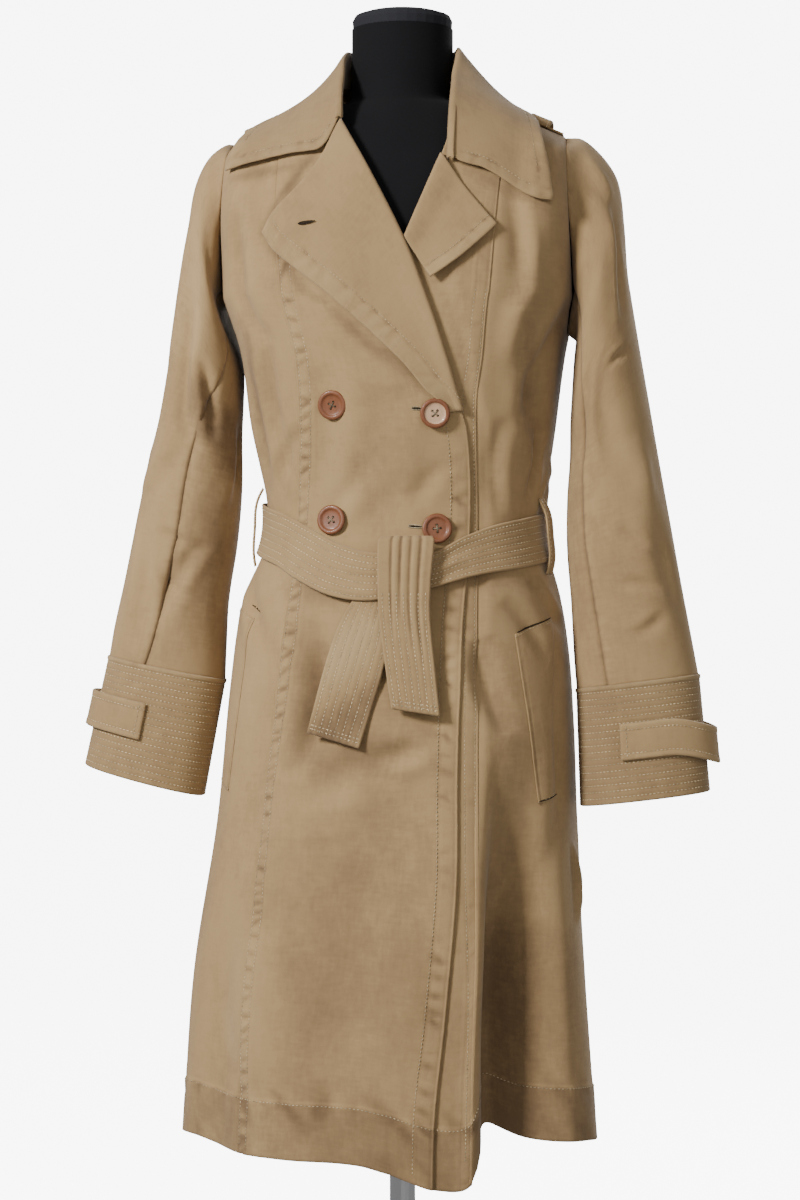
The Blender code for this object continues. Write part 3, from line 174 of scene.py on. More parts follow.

# Soft lines of painted shade (negative) and painted highlight (positive) on the front, in x and
# height: shadows under the lapels' and collar's edges, beside and below the belt's tails, under
# the belt and in the hollows, and lit patches.
PAINTED_SHADES = table(Crease, [
    (-0.067, 0.925, -0.088, 0.8, -0.32, 0.013), (-0.009, 0.915, -0.027, 0.805, -0.24, 0.011),
    (-0.078, 0.8, 0.034, 0.826, -0.22, 0.02), (-0.02, 0.76, -0.054, 0.54, -0.16, 0.034),
    (-0.112, 0.978, -0.004, 0.958, -0.26, 0.012), (0.044, 0.984, 0.15, 0.972, -0.24, 0.012),
    (0.162, 1.262, 0.149, 1.13, -0.4, 0.013), (-0.146, 1.235, -0.126, 1.085, -0.36, 0.014),
    (0.121, 1.3, 0.13, 1.06, -0.2, 0.02), (0.044, 1.268, 0.08, 1.13, -0.22, 0.01),
    (0.093, 0.93, 0.124, 0.76, -0.22, 0.017), (0.166, 0.77, 0.16, 0.51, -0.18, 0.012),
    (-0.124, 1.306, -0.056, 1.236, -0.34, 0.0045), (-0.065, 1.244, 0.04, 1.143, -0.38, 0.0045),
    (-0.064, 1.39, -0.124, 1.302, -0.36, 0.0045), (-0.16, 1.359, -0.066, 1.374, -0.32, 0.006),
    (0.064, 1.362, 0.152, 1.323, -0.34, 0.007), (0.092, 1.308, 0.04, 1.252, -0.34, 0.0055),
    (-0.156, 0.585, -0.152, 0.525, 0.26, 0.01), (-0.126, 0.925, -0.146, 0.67, 0.1, 0.018),
    (0.1655, 0.965, 0.172, 0.88, 0.16, 0.009), (-0.025, 1.02, 0.03, 1.16, -0.1, 0.02),
    (-0.1, 0.56, 0.0, 0.47, -0.12, 0.025), (0.044, 0.88, 0.05, 0.78, -0.16, 0.009),
    (0.13, 0.66, 0.142, 0.45, -0.24, 0.03),
])

# ---- vector mathematics ---------------------------------------------------------------------


def vec(x, y, z):
    return np.stack(np.broadcast_arrays(x, y, z), -1).astype(float)


def unit(vectors):
    return vectors / np.maximum(np.linalg.norm(vectors, axis=-1, keepdims=True), 1e-12)


def ease(share):
    share = np.clip(share, 0.0, 1.0)
    return share * share * (3.0 - 2.0 * share)


def mix(first, second, share):
    return first * (1.0 - share) + second * share


def power(value, exponent):
    return np.sign(value) * np.abs(value) ** exponent


def bell(distance, width):
    return np.exp(-(distance / width) ** 2)


def curve(knots, values, at):
    """Values at places on a smooth curve through values, numbers or points, at rising knots."""
    knots, values, at = np.asarray(knots, float), np.asarray(values, float), np.asarray(at, float)
    last = len(knots) - 1
    at = np.clip(at, knots[0], knots[-1])
    i = np.clip(np.searchsorted(knots, at, side="right") - 1, 0, last - 1)
    low = np.maximum(np.arange(last + 1) - 1, 0)
    high = np.minimum(np.arange(last + 1) + 1, last)
    wide = (slice(None),) + (None,) * (values.ndim - 1)
    slope = (values[high] - values[low]) / (knots[high] - knots[low])[wide]
    span = knots[i + 1] - knots[i]
    t = (at - knots[i]) / span
    extra = (...,) + (None,) * (values.ndim - 1)
    bend, lead = t * t * (3.0 - 2.0 * t), t * (1.0 - t) ** 2 * span
    trail = t * t * (t - 1.0) * span
    return (values[i] * (1.0 - bend)[extra] + values[i + 1] * bend[extra]
            + lead[extra] * slope[i] + trail[extra] * slope[i + 1])


def read(table, column, at):
    """Values of a table's named column, smoothly between its rows."""
    return curve([row[0] for row in table], [getattr(row, column) for row in table], at)


def running(gaps):
    """Running total of gaps, from 0."""
    return np.concatenate([[0.0], np.cumsum(gaps)])


def along(points, share):
    """Points at shares of the way along a smooth curve through points."""
    points = np.asarray(points, float)
    knots = running(np.linalg.norm(np.diff(points, axis=0), axis=1))
    return curve(knots, points, np.asarray(share) * knots[-1])


def resample(net, count, axis):
    """The net with count + 1 evenly spaced places along an axis, on smooth curves."""
    net = np.moveaxis(net, axis, 0)
    knots = running(np.linalg.norm(np.diff(net, axis=0), axis=-1).mean(1))
    return np.moveaxis(curve(knots, net, np.linspace(0.0, knots[-1], count + 1)), 0, axis)


# ---- the coat's outer surface ---------------------------------------------------------------

def shoulder_height(x):
    return SHOULDER_TOP - SHOULDER_SLOPE * np.hypot(x, NAPE_ROUNDING)


def squareness(climb):
    share = (climb - SQUARER_FROM) / (CHEST_LINE - SQUARER_FROM)
    return mix(SQUARENESS, CHEST_SQUARENESS, ease(share))


def width_at(x, climb):
    at = np.minimum(climb, CHEST_LINE)
    return np.where(np.asarray(x) < 0, read(SECTIONS, "right", at), read(SECTIONS, "left", at))


def turn_at(x, climb):
    share = np.clip(np.abs(x) / width_at(x, climb), 0.0, 1.0)
    return np.sign(x) * np.degrees(np.arcsin(share ** (squareness(climb) / 2.0)))


def seam_turn(table):
    return lambda climb: turn_at(read(table, "x", climb), climb)


def plain(turn, climb):
    """Points of the outer surface, before folds."""
    turn, climb = np.broadcast_arrays(np.asarray(turn, float), np.asarray(climb, float))
    angle = np.radians(turn)
    at = np.minimum(climb, CHEST_LINE)
    width = width_at(np.sin(angle), climb)
    depth = np.where(np.cos(angle) > 0, read(SECTIONS, "front", at), read(SECTIONS, "back", at))
    bend = 2.0 / squareness(climb)
    x = width * power(np.sin(angle), bend)
    y = -depth * power(np.cos(angle), bend)
    share = np.clip((climb - CHEST_LINE) / (SHOULDER_CLIMB - CHEST_LINE), 0.0, 1.0)
    over = share * math.pi / 2.0
    rise = (shoulder_height(x) - CHEST_LINE) * np.sin(over) ** (2.0 / SQUARENESS)
    fade = np.clip(1.0 - (climb - HEM) / HEM_FADE, 0.0, 1.0)
    around = (turn + 180.0) % 360.0 - 180.0
    shift = fade * (read(HEM_LINE, "height", around) - HEM)
    low = climb <= CHEST_LINE
    z = np.where(low, climb + shift, CHEST_LINE + rise)
    lean = np.clip(np.cos(over), 0.0, 1.0) ** (2.0 / SQUARENESS)
    beside = ease((np.abs(x) - 0.112) / 0.048) * ease(share / 0.34)
    beside *= 1.0 - ease((share - 0.62) / 0.24)
    return vec(x, np.where(low, y, y * lean + np.sign(y) * ARMHOLE_FULLNESS * beside), z)


def outward(turn, climb):
    """Unit normals of the unfolded surface."""
    climb = np.minimum(climb, SHOULDER_CLIMB - 0.002)
    round_body = plain(turn + 0.5, climb) - plain(turn - 0.5, climb)
    upwards = plain(turn, climb + 0.002) - plain(turn, climb - 0.002)
    return unit(np.cross(round_body, upwards))


def folds(turn, climb):
    """How far the skirt's folds move the cloth out, less the deep fold by the left princess."""
    total = np.zeros(np.broadcast(turn, climb).shape)
    for fold in FOLDS:
        fade = np.clip((fold.top - climb) / (fold.top - HEM), 0.0, 1.0)
        middle = mix(fold.top_turn, fold.turn, fade)
        away = np.abs((turn - middle + 180.0) % 360.0 - 180.0)
        total = total + fold.depth * fade * ease(1.0 - away / (2.0 * fold.flank))
    return total - VALLEY_DEPTH * valley(turn, climb)


def valley(turn, climb):
    """Share of the deep fold's depth, 1 at its bottom."""
    fade = ease((VALLEY_TOP - climb) / (VALLEY_TOP - VALLEY_FULL))
    past = turn - seam_turn(LEFT_PRINCESS)(climb)
    down = ease((past - 0.4) / VALLEY_STEEP)
    back = ease((past - VALLEY_STEEP - VALLEY_FLAT) / VALLEY_SLOW)
    inside = (turn > 0.0) & (turn < 90.0)
    return np.where(inside, fade * down * (1.0 - back), 0.0)


def smooth_coat(turn, climb, out=0.0):
    """Points of the outer surface without creases, moved out."""
    turn, climb = np.asarray(turn, float), np.asarray(climb, float)
    moved = np.asarray(out + folds(turn, climb))
    return plain(turn, climb) + outward(turn, climb) * moved[..., None]


def front_place(x, height):
    """Turn and climb of the front's points at this x and height."""
    x, height = np.asarray(x, float), np.asarray(height, float)
    share = np.clip((height - CHEST_LINE) / (shoulder_height(x) - CHEST_LINE), 0.0, 1.0)
    over = np.degrees(np.arcsin(share ** (SQUARENESS / 2.0))) / 90.0
    lifted = CHEST_LINE + (SHOULDER_CLIMB - CHEST_LINE) * over
    climb = np.where(height > CHEST_LINE, lifted, height)
    return turn_at(x, climb), climb


def plan_place(x, y):
    """Turn and climb of the shoulders' points above this x and y."""
    x, y = np.asarray(x, float), np.asarray(y, float)
    depth = np.where(y < 0, SECTIONS[-1].front, SECTIONS[-1].back)
    flat = 1.0 - np.clip(np.abs(x) / width_at(x, CHEST_LINE), 0.0, 1.0) ** CHEST_SQUARENESS
    share = np.clip(np.abs(y) / (depth * flat ** (1.0 / CHEST_SQUARENESS)), 0.0, 1.0)
    over = np.degrees(np.arccos(share ** (SQUARENESS / 2.0))) / 90.0
    climb = CHEST_LINE + (SHOULDER_CLIMB - CHEST_LINE) * over
    turn = turn_at(x, climb)
    return np.where(y > 0, np.copysign(180.0, x) - turn, turn), climb


def on_front(x, height, out):
    return smooth_coat(*front_place(x, height), out)


def armhole_turn(side, climb):
    share = (np.asarray(climb, float) - UNDERARM[side]) / (SHOULDER_CLIMB - UNDERARM[side])
    scoop = ARMHOLE_SCOOP * np.clip(share, 0.0, 1.0) ** 0.3
    turn = np.degrees(np.arccos(scoop ** (squareness(climb) / 2.0)))
    return side * np.where(share <= 0.0, 90.0, turn)


# ---- relief: creases, puckered bands and seams ----------------------------------------------

METRES_A_DEGREE = 0.0023  # round the body, where creases are placed


def beside(x, y, line):
    """Shares of the way along a line, distances off it, both of places, and its length."""
    run_x, run_y = line.x1 - line.x0, line.y1 - line.y0
    length = math.hypot(run_x, run_y)
    share = ((x - line.x0) * run_x + (y - line.y0) * run_y) / length ** 2
    off = ((x - line.x0) * run_y - (y - line.y0) * run_x) / length
    return np.clip(share, 0.0, 1.0), off, length


def creased(x, y, creases):
    """Height that a list of creases adds at places in metres."""
    total = np.zeros(np.broadcast(x, y).shape)
    for i, crease in enumerate(creases):
        share, off, length = beside(x, y, crease)
        bow = 0.07 * length * (1 if i % 2 else -1)
        off = off + bow * np.sin(share * math.pi)
        taper = np.sin(share * math.pi) ** 0.8
        lip = 1.7 * crease.width * (1 if i % 3 else -1)
        shape = bell(off, crease.width) - 0.35 * bell(off - lip, 0.9 * crease.width)
        total += crease.depth * taper * shape
    return total


def puckers(way, off, spacing, seed):
    """Irregular row of small slanting hollows, 1 at their deepest, along a stitched band."""
    chance = np.random.default_rng(seed)
    count = int(2.2 / spacing)
    middles = np.cumsum(chance.uniform(0.6, 1.4, count)) * spacing - 0.3
    depth, lean = chance.uniform(0.25, 1.0, count), chance.uniform(-0.25, 0.75, count)
    total = np.zeros(np.shape(way))
    after = np.clip(np.searchsorted(middles, way), 1, count - 1)
    for i in (after - 1, after):
        past = way - middles[i] - lean[i] * off
        total += depth[i] * (bell(past, 0.2 * spacing)
                             - 0.5 * bell(past - 0.42 * spacing, 0.22 * spacing))
    return total


def shaded(x, y, shades):
    """How much darker (negative) or paler a list of soft lines of painted shade and highlight
    makes the cloth at places in metres.
    """
    total = np.zeros(np.broadcast(x, y).shape)
    for shade in shades:
        share, off, _ = beside(x, y, shade)
        total += shade.depth * np.sin(share * math.pi) ** 0.6 * bell(off, shade.width)
    return total


def placed_round(creases, front):
    """Creases given in x and height, or turn and climb, in metres round the body and climb."""
    placed = []
    for crease in creases:
        turns, climbs = (crease.x0, crease.x1), (crease.y0, crease.y1)
        if front:
            turns, climbs = front_place(turns, climbs)
        placed.append(Crease(turns[0] * METRES_A_DEGREE, climbs[0], turns[1] * METRES_A_DEGREE,
                             climbs[1], crease.depth, crease.width))
    return placed


# A stitched band beside a seam: which way it lies from the seam, how wide it is, how high its
# allowances lift the cloth, and its puckers.
Band = namedtuple("Band", "seam way width lift pucker spacing low high seed")
BANDS = table(Band, [
    ("right_princess", 1, 0.0145, 0.0007, 0.0012, 0.0125, 0.4, 1.33, 3),
    ("left_princess", -1, 0.015, 0.0005, 0.0003, 0.013, 0.4, 1.33, 5),
    ("top_edge", -1, 0.019, 0.0006, 0.0009, 0.017, 0.4, 1.13, 7),
    ("left_side", -1, 0.008, 0.0004, 0.0005, 0.02, 0.4, 1.215, 11),
    ("right_side", 1, 0.008, 0.0004, 0.0005, 0.02, 0.4, 1.25, 13),
])
BAND_LAYERS = {"top_edge": "top", "left_princess": "under"}
SEAMS = {
    "right_princess": seam_turn(RIGHT_PRINCESS), "left_princess": seam_turn(LEFT_PRINCESS),
    "top_edge": seam_turn(TOP_FRONT_EDGE), "left_side": lambda climb: 90.0 + 0.0 * climb,
    "right_side": lambda climb: -90.0 + 0.0 * climb,
}


def from_seam(seam, turn, climb):
    """Signed distance round the body from a seam, in metres."""
    at = SEAMS[seam](climb)
    gap = np.linalg.norm(plain(turn, climb) - plain(at, climb), axis=-1)
    return np.sign(turn - at) * gap


def relief(turn, climb, layer):
    """Height that creases, bands and the hem add, and how worn they leave the cloth, mixed with
    painted shade: darker pucker hollows, stitch grooves, crease troughs and deep fold, a painted
    highlight on the hem seam, a darker hem band, and the painted shade and highlight lines.
    """
    turn, climb = np.broadcast_arrays(np.asarray(turn, float), np.asarray(climb, float))
    look = bpy.context.scene.coat_cloth
    around = (turn + 180.0) % 360.0 - 180.0
    way = around * METRES_A_DEGREE
    height = look.crease * creased(way, climb, placed_round(FRONT_CREASES, True)
                                   + placed_round(SIDE_CREASES, False))
    fine, worn = np.zeros(turn.shape), np.zeros(turn.shape)
    for band in BANDS:
        if layer != BAND_LAYERS.get(band.seam, layer):
            continue
        off = band.way * from_seam(band.seam, around, climb)
        inside = ease(1.0 + off / 0.0011) * (1.0 - ease((off - band.width) / 0.0016))
        fade = ease((band.high - climb) / 0.06)
        across = np.clip(off / band.width, 0.0, 1.0)
        window = inside * np.sin(across * math.pi) ** 1.2
        row = (bell(off - 0.0022, 0.001) + bell(off - band.width + 0.0022, 0.001)) * (off > 0)
        hollow = fade * look.pucker / 0.001 * band.pucker * window * puckers(
            climb, off, band.spacing, band.seed)
        fine += fade * (band.lift * inside - 0.0005 * row) - hollow
        # Painted shade: the stitch rows' grooves and the puckers' hollows come out darker; the
        # band itself a touch paler.
        worn += fade * (0.00006 * inside - 0.0003 * row) - 0.85 * hollow
    below = HEM_SEAM - climb
    fine += 0.0009 * ease(below / 0.0025)
    hollow = 0.0016 * bell(below - 0.006, 0.016) * puckers(way + 0.5, below, 0.023, 23)
    hollow += 0.0007 * bell(below - 0.002, 0.006) * puckers(way + 0.5, below, 0.012, 24)
    hollow += 0.0008 * bell(climb - HEM - 0.004, 0.012) * puckers(way + 0.5, below, 0.031, 29)
    # Along the hem: a painted highlight on the hem seam's ledge and painted shade in the puckers'
    # hollows, then the hem band made darker.
    worn += 0.0003 * bell(below - 0.0012, 0.0014) - 0.5 * hollow
    worn -= 0.0006 * ease(below / 0.004)
    # Crease troughs darker and their ridges paler, and the deep fold darker: painted shade and
    # highlight; then the lines of painted shade and highlight.
    wear = 0.5 + 420.0 * worn + 14.0 * height - 0.45 * valley(around, climb)
    wear = wear + shaded(way, climb, placed_round(PAINTED_SHADES, True))
    return height + fine - hollow, np.clip(wear, 0.0, 1.0)


def coat(turn, climb, out=0.0, layer="top"):
    """Points of the finished outer surface, and how worn the cloth is there, mixed with painted
    shade and highlights.
    """
    height, wear = relief(turn, climb, layer)
    return smooth_coat(turn, climb, out + height), wear


# ---- cloth shells ---------------------------------------------------------------------------

def net_normals(net, closed):
    """Unit normals of a net of points, closed across where it is a tube."""
    if closed:
        across = np.roll(net, -1, 1) - np.roll(net, 1, 1)
    else:
        across = np.gradient(net, axis=1)
    return unit(np.cross(across, np.gradient(net, axis=0)))


def facing_out(net, closed=False, away=None):
    """Normals turned away from a point, or from a tube's own middle."""
    normals = net_normals(net, closed)
    row, column = net.shape[0] // 2, net.shape[1] // 2
    point = net[row, column]
    if away is None:
        away = net[row].mean(0) if closed else (point[0] * 0.5, 0.0, min(point[2], CHEST_LINE))
    return normals if normals[row, column] @ (point - np.asarray(away)) > 0 else -normals


def rim_loop(rows, columns):
    """Indices round a net's edge, and of the point that lies inside each."""
    loop = [(0, i) for i in range(columns)] + [(j, columns - 1) for j in range(1, rows)]
    loop += [(rows - 1, i) for i in range(columns - 2, -1, -1)]
    loop += [(j, 0) for j in range(rows - 2, 0, -1)]
    inside = [(min(max(j, 1), rows - 2), min(max(i, 1), columns - 2)) for j, i in loop]
    flat = [j * columns + i for j, i in loop]
    return np.array(flat), np.array([j * columns + i for j, i in inside])


def grid_faces(rows, columns, closed):
    j, i = np.mgrid[0:rows - 1, 0:columns if closed else columns - 1]
    k = (i + 1) % columns
    low, high = j * columns, (j + 1) * columns
    return np.stack([low + i, low + k, high + k, high + i], -1).reshape(-1, 4)


def shell(name, outer, normals, finish, thickness, closed=False, wear=None):
    """Piece of cloth: its outer net, a coarser inner one and rounded edges, UVs in metres."""
    rows, columns = outer.shape[:2]
    count = rows * columns
    flat, flat_normals = outer.reshape(-1, 3), normals.reshape(-1, 3)
    inner_rows = np.arange(0, rows, 2 if rows % 2 else 1)
    inner_columns = np.arange(0, columns, 2 if columns % 2 != closed else 1)
    picked = (inner_rows[:, None] * columns + inner_columns).ravel()
    inner = np.full(count, -1)
    inner[picked] = count + np.arange(len(picked))
    points = [flat, (flat - flat_normals * thickness)[picked]]
    grid = grid_faces(rows, columns, closed)
    faces = grid.tolist()
    faces += (grid_faces(len(inner_rows), len(inner_columns), closed)[:, ::-1] + count).tolist()
    worn = np.full(count, 0.5) if wear is None else np.asarray(wear, float).reshape(-1)
    lengths = net_lengths(outer, closed)
    worn, lengths = [worn, worn[picked]], [lengths, lengths[picked]]
    if closed:
        ring = np.arange(columns)
        loops = [(ring, ring + columns), (ring[::-1] + count - columns,
                                          ring[::-1] + count - 2 * columns)]
    else:
        loops = [rim_loop(rows, columns)]
    total = count + len(picked)
    for loop, inside in loops:
        edge = flat[loop] - flat[inside]
        edge -= flat_normals[loop] * (edge * flat_normals[loop]).sum(-1, keepdims=True)
        middle = flat[loop] - flat_normals[loop] * thickness / 2 + unit(edge) * RIM * thickness
        size = len(loop)
        rim = total + np.arange(size)
        after = np.roll(np.arange(size), -1)
        faces += np.stack([loop[after], loop, rim, rim[after]], -1).tolist()
        held = [k for k in range(size) if inner[loop[k]] >= 0]
        for first, last in zip(held, held[1:] + [held[0] + size]):
            face = [int(rim[k % size]) for k in range(last, first - 1, -1)]
            faces.append(face + [int(inner[loop[first]]), int(inner[loop[last % size]])])
        points.append(middle)
        worn.append(worn[0][loop] + 0.22)
        lengths.append(lengths[0][loop])
        total += size
    corner = flat[grid[len(grid) // 2]]
    facing = np.cross(corner[1] - corner[0], corner[2] - corner[0])
    if facing @ flat_normals[grid[len(grid) // 2][0]] < 0:
        faces = [face[::-1] for face in faces]
    made = mesh_object(name, np.concatenate(points), faces, finish)
    # Each point's worn tone, mixed with the painted shade and highlights worked into it, with the
    # rounded edges paler.
    made.data.attributes.new("wear", "FLOAT", "POINT").data.foreach_set(
        "value", np.clip(np.concatenate(worn), 0.0, 1.0).astype(np.float32))
    index = np.empty(len(made.data.loops), np.int32)
    made.data.loops.foreach_get("vertex_index", index)
    uv = np.concatenate(lengths)[index]
    if closed:
        run_on(uv, made.data, float(lengths[0][:, 0].max()))
    made.data.uv_layers.new(name="cloth").data.foreach_set("uv", uv.astype(np.float32).ravel())
    return made


def lengths_across(net):
    """Lengths from a net's first column to each of its points."""
    far = np.zeros(net.shape[:2])
    far[:, 1:] = np.cumsum(np.linalg.norm(np.diff(net, axis=1), axis=-1), 1)
    return far


def net_lengths(net, closed):
    """Lengths across and down the cloth to each of a net's points, in metres."""
    across = lengths_across(net)
    if closed:
        across = np.broadcast_to(across.mean(0), across.shape)
    else:
        across = across - across.mean(1, keepdims=True)
    down = running(np.linalg.norm(np.diff(net, axis=0), axis=-1).mean(1))
    return np.stack([across, np.broadcast_to(down[:, None], across.shape)], -1).reshape(-1, 2)


def run_on(uv, mesh, girth):
    """Lets the UVs of faces that cross a tube's join run on, not back."""
    start, total = (np.empty(len(mesh.polygons), np.int32) for _ in range(2))
    mesh.polygons.foreach_get("loop_start", start)
    mesh.polygons.foreach_get("loop_total", total)
    spread = np.maximum.reduceat(uv[:, 0], start) - np.minimum.reduceat(uv[:, 0], start)
    crossing = np.repeat(spread > girth / 2, total)
    uv[crossing & (uv[:, 0] < girth / 2), 0] += girth * 1.01


def new_object(name, data):
    made = bpy.data.objects.new(name, data)
    bpy.context.scene.collection.objects.link(made)
    return made


def mesh_object(name, points, faces, finish):
    mesh = bpy.data.meshes.new(name)
    mesh.from_pydata(np.asarray(points).tolist(), [], faces)
    mesh.materials.append(finish)
    mesh.shade_smooth()
    return new_object(name, mesh)


# What each sheet was cut to before it was sewn: width, length, its area as a share of width times
# length, and how it is held.
Cut = namedtuple("Cut", "width length share held")


def declare(made, node=None):
    """Fixes a piece to the coat's one body, in place of its plain solid if it has one."""
    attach(made, "root")
    if node:
        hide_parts(node)


def cloth(node, net, normals, twill, thickness=CLOTH, closed=False, wear=None):
    """Puts a piece of cloth on the coat in place of its plain solid."""
    made = shell(f"{node}_cloth", net, normals, cloth_finish(twill), thickness, closed, wear)
    declare(made, node)


# ---- sewing ---------------------------------------------------------------------------------

THREAD_LIFT = 0.00012
FINE_THREAD = 0.00028  # radius of the lapels' and collar's thread
STRAP_THREAD = 0.00036  # and of the belt loops' and epaulettes'


def feed(tree, socket, value):
    """Link a socket to another node's output, or give it a plain value."""
    if hasattr(value, "is_linked"):
        tree.links.new(value, socket)
    else:
        socket.default_value = value


def new_node(tree, kind, values=(), **settings):
    """Node with its settings, and with its inputs fed by name or number."""
    made = tree.nodes.new(kind)
    for name, value in settings.items():
        setattr(made, name, value)
    for name, value in dict(values).items():
        feed(tree, made.inputs[name], value)
    return made


def maths(tree, operation, first, second):
    return new_node(tree, "ShaderNodeMath", {0: first, 1: second}, operation=operation).outputs[0]


def stitch_tree():
    """Geometry Nodes tree that lays thread stitches along polylines."""
    found = bpy.data.node_groups.get("Stitch rows")
    if found:
        return found
    tree = bpy.data.node_groups.new("Stitch rows", "GeometryNodeTree")
    for name, kind in (("Geometry", "Geometry"), ("Stitch Length", "Float"), ("Gap", "Float"),
                       ("Thread Radius", "Float"), ("Unevenness", "Float"), ("Seed", "Int"),
                       ("Thread", "Material")):
        tree.interface.new_socket(name=name, in_out="INPUT", socket_type=f"NodeSocket{kind}")
    tree.interface.new_socket(name="Geometry", in_out="OUTPUT", socket_type="NodeSocketGeometry")
    given = tree.nodes.new("NodeGroupInput").outputs
    length, thin, uneven = given["Stitch Length"], given["Thread Radius"], given["Unevenness"]
    lines = new_node(tree, "GeometryNodeMeshToCurve", {"Mesh": given["Geometry"]})
    even = new_node(tree, "GeometryNodeResampleCurve", {
        "Curve": lines.outputs[0], "Length": maths(tree, "ADD", length, given["Gap"])},
        mode="LENGTH")
    turned = new_node(tree, "FunctionNodeAlignEulerToVector", {
        "Vector": tree.nodes.new("GeometryNodeInputTangent").outputs[0]}, axis="X")
    ball = new_node(tree, "GeometryNodeMeshIcoSphere", {"Subdivisions": 1})
    size = new_node(tree, "ShaderNodeCombineXYZ", {
        "X": maths(tree, "MULTIPLY", length, 0.5), "Y": thin, "Z": thin})
    put = new_node(tree, "GeometryNodeInstanceOnPoints", {
        "Points": even.outputs[0], "Instance": ball.outputs["Mesh"],
        "Rotation": turned.outputs[0], "Scale": size.outputs[0]})
    sway = new_node(tree, "FunctionNodeRandomValue", {
        "Min": maths(tree, "MULTIPLY", uneven, -1.0), "Max": uneven, "Seed": given["Seed"]},
        data_type="FLOAT_VECTOR")
    swing = new_node(tree, "GeometryNodeRotateInstances", {
        "Instances": put.outputs[0], "Rotation": sway.outputs[0]})
    real = new_node(tree, "GeometryNodeRealizeInstances", {"Geometry": swing.outputs[0]})
    paint = new_node(tree, "GeometryNodeSetMaterial", {
        "Geometry": real.outputs[0], "Material": given["Thread"]})
    new_node(tree, "NodeGroupOutput", {"Geometry": paint.outputs[0]})
    return tree


def sew(stem, runs, thread, radius=None):
    """Rows of stitches along runs of points, as one plain mesh."""
    name = f"{stem}_stitching"
    look = bpy.context.scene.coat_cloth
    points = np.concatenate(runs)
    edges, start = [], 0
    for run in runs:
        edges += [(start + i, start + i + 1) for i in range(len(run) - 1)]
        start += len(run)
    mesh = bpy.data.meshes.new(name)
    mesh.from_pydata(points.tolist(), edges, [])
    lines = new_object(name, mesh)
    tree = stitch_tree()
    rows = lines.modifiers.new("stitch rows", "NODES")
    rows.node_group = tree
    given = {"Stitch Length": look.stitch_length, "Gap": look.stitch_gap,
             "Thread Radius": radius or look.thread_radius, "Unevenness": 0.08, "Seed": 4,
             "Thread": thread}
    for item in tree.interface.items_tree:
        if item.name in given:
            rows[item.identifier] = given[item.name]
    seen = bpy.context.evaluated_depsgraph_get()
    made = bpy.data.meshes.new_from_object(lines.evaluated_get(seen), depsgraph=seen)
    lines.modifiers.remove(rows)
    made.name = name
    lines.data = made
    made.shade_smooth()
    declare(lines)


def seam_run(seam, offset, low, high, lift, layer="top", out=0.0):
    """Points along a body seam, at a distance round the body from it."""
    climb = np.arange(low, high, 0.0025)
    at = SEAMS[seam](climb)
    degree = np.linalg.norm(plain(at + 0.5, climb) - plain(at - 0.5, climb), axis=-1)
    turn = at + offset / degree
    deep = out(turn, climb) if callable(out) else out
    return coat(turn, climb, deep + lift, layer)[0]


def from_side(net, side):
    """The net turned so that its columns start at one of its sides."""
    net = np.swapaxes(net, 0, 1) if side in ("top", "bottom") else net
    return net[:, ::-1] if side in ("right", "bottom") else net


def edge_run(net, normals, side, distance, lift=0.0002, start=0.0, end=1.0):
    """Points on a net at a distance in from one of its sides."""
    net, normals = from_side(net, side), from_side(normals, side)
    raised, far = net + normals * lift, lengths_across(net)
    first, last = int(start * (len(net) - 1)), int(math.ceil(end * (len(net) - 1)))
    return np.array([[np.interp(distance, far[j], raised[j, :, axis]) for axis in range(3)]
                     for j in range(first, last + 1)])


def row_between(net, normals, index):
    """A row of stitching between two rows of a net, lifted off the cloth."""
    low = int(index)
    return mix(net[low], net[low + 1], index - low) + THREAD_LIFT * normals[low]


# ---- finishes -------------------------------------------------------------------------------

def noise(tree, vector, scale, detail, stretch=None):
    if stretch:
        vector = new_node(tree, "ShaderNodeMapping", {
            "Scale": stretch, "Vector": vector}).outputs["Vector"]
    return new_node(tree, "ShaderNodeTexNoise", {
        "Vector": vector, "Scale": scale, "Detail": detail, "Roughness": 0.6}).outputs["Fac"]


def shifted(tree, value, low, high, to_low, to_high):
    return new_node(tree, "ShaderNodeMapRange", {
        "Value": value, "From Min": low, "From Max": high, "To Min": to_low,
        "To Max": to_high}).outputs["Result"]


def blended(tree, factor, first, second):
    return new_node(tree, "ShaderNodeMix", {0: factor, 6: first, 7: second},
                    data_type="RGBA").outputs[2]


def bump(tree, height, strength, distance):
    return new_node(tree, "ShaderNodeBump", {
        "Height": height, "Strength": strength, "Distance": distance}).outputs["Normal"]


def scaled(colour, factor):
    return tuple(min(1.0, channel * factor) for channel in colour[:3]) + (1.0,)


def node_group(name, given, results, fill):
    """Shader node group, made once: fill(tree, inputs) gives what its outputs are fed with."""
    tree = bpy.data.node_groups.get(name)
    if tree is None:
        tree = bpy.data.node_groups.new(name, "ShaderNodeTree")
        for title, default in given.items():
            size = len(default) if isinstance(default, tuple) else 1
            kind = {1: "Float", 3: "Vector", 4: "Color"}[size]
            tree.interface.new_socket(name=title, in_out="INPUT", socket_type=f"NodeSocket{kind}"
                                      ).default_value = default
        for title, kind in results.items():
            tree.interface.new_socket(name=title, in_out="OUTPUT",
                                      socket_type=f"NodeSocket{kind}")
        new_node(tree, "NodeGroupOutput", fill(tree, tree.nodes.new("NodeGroupInput").outputs))
    return tree


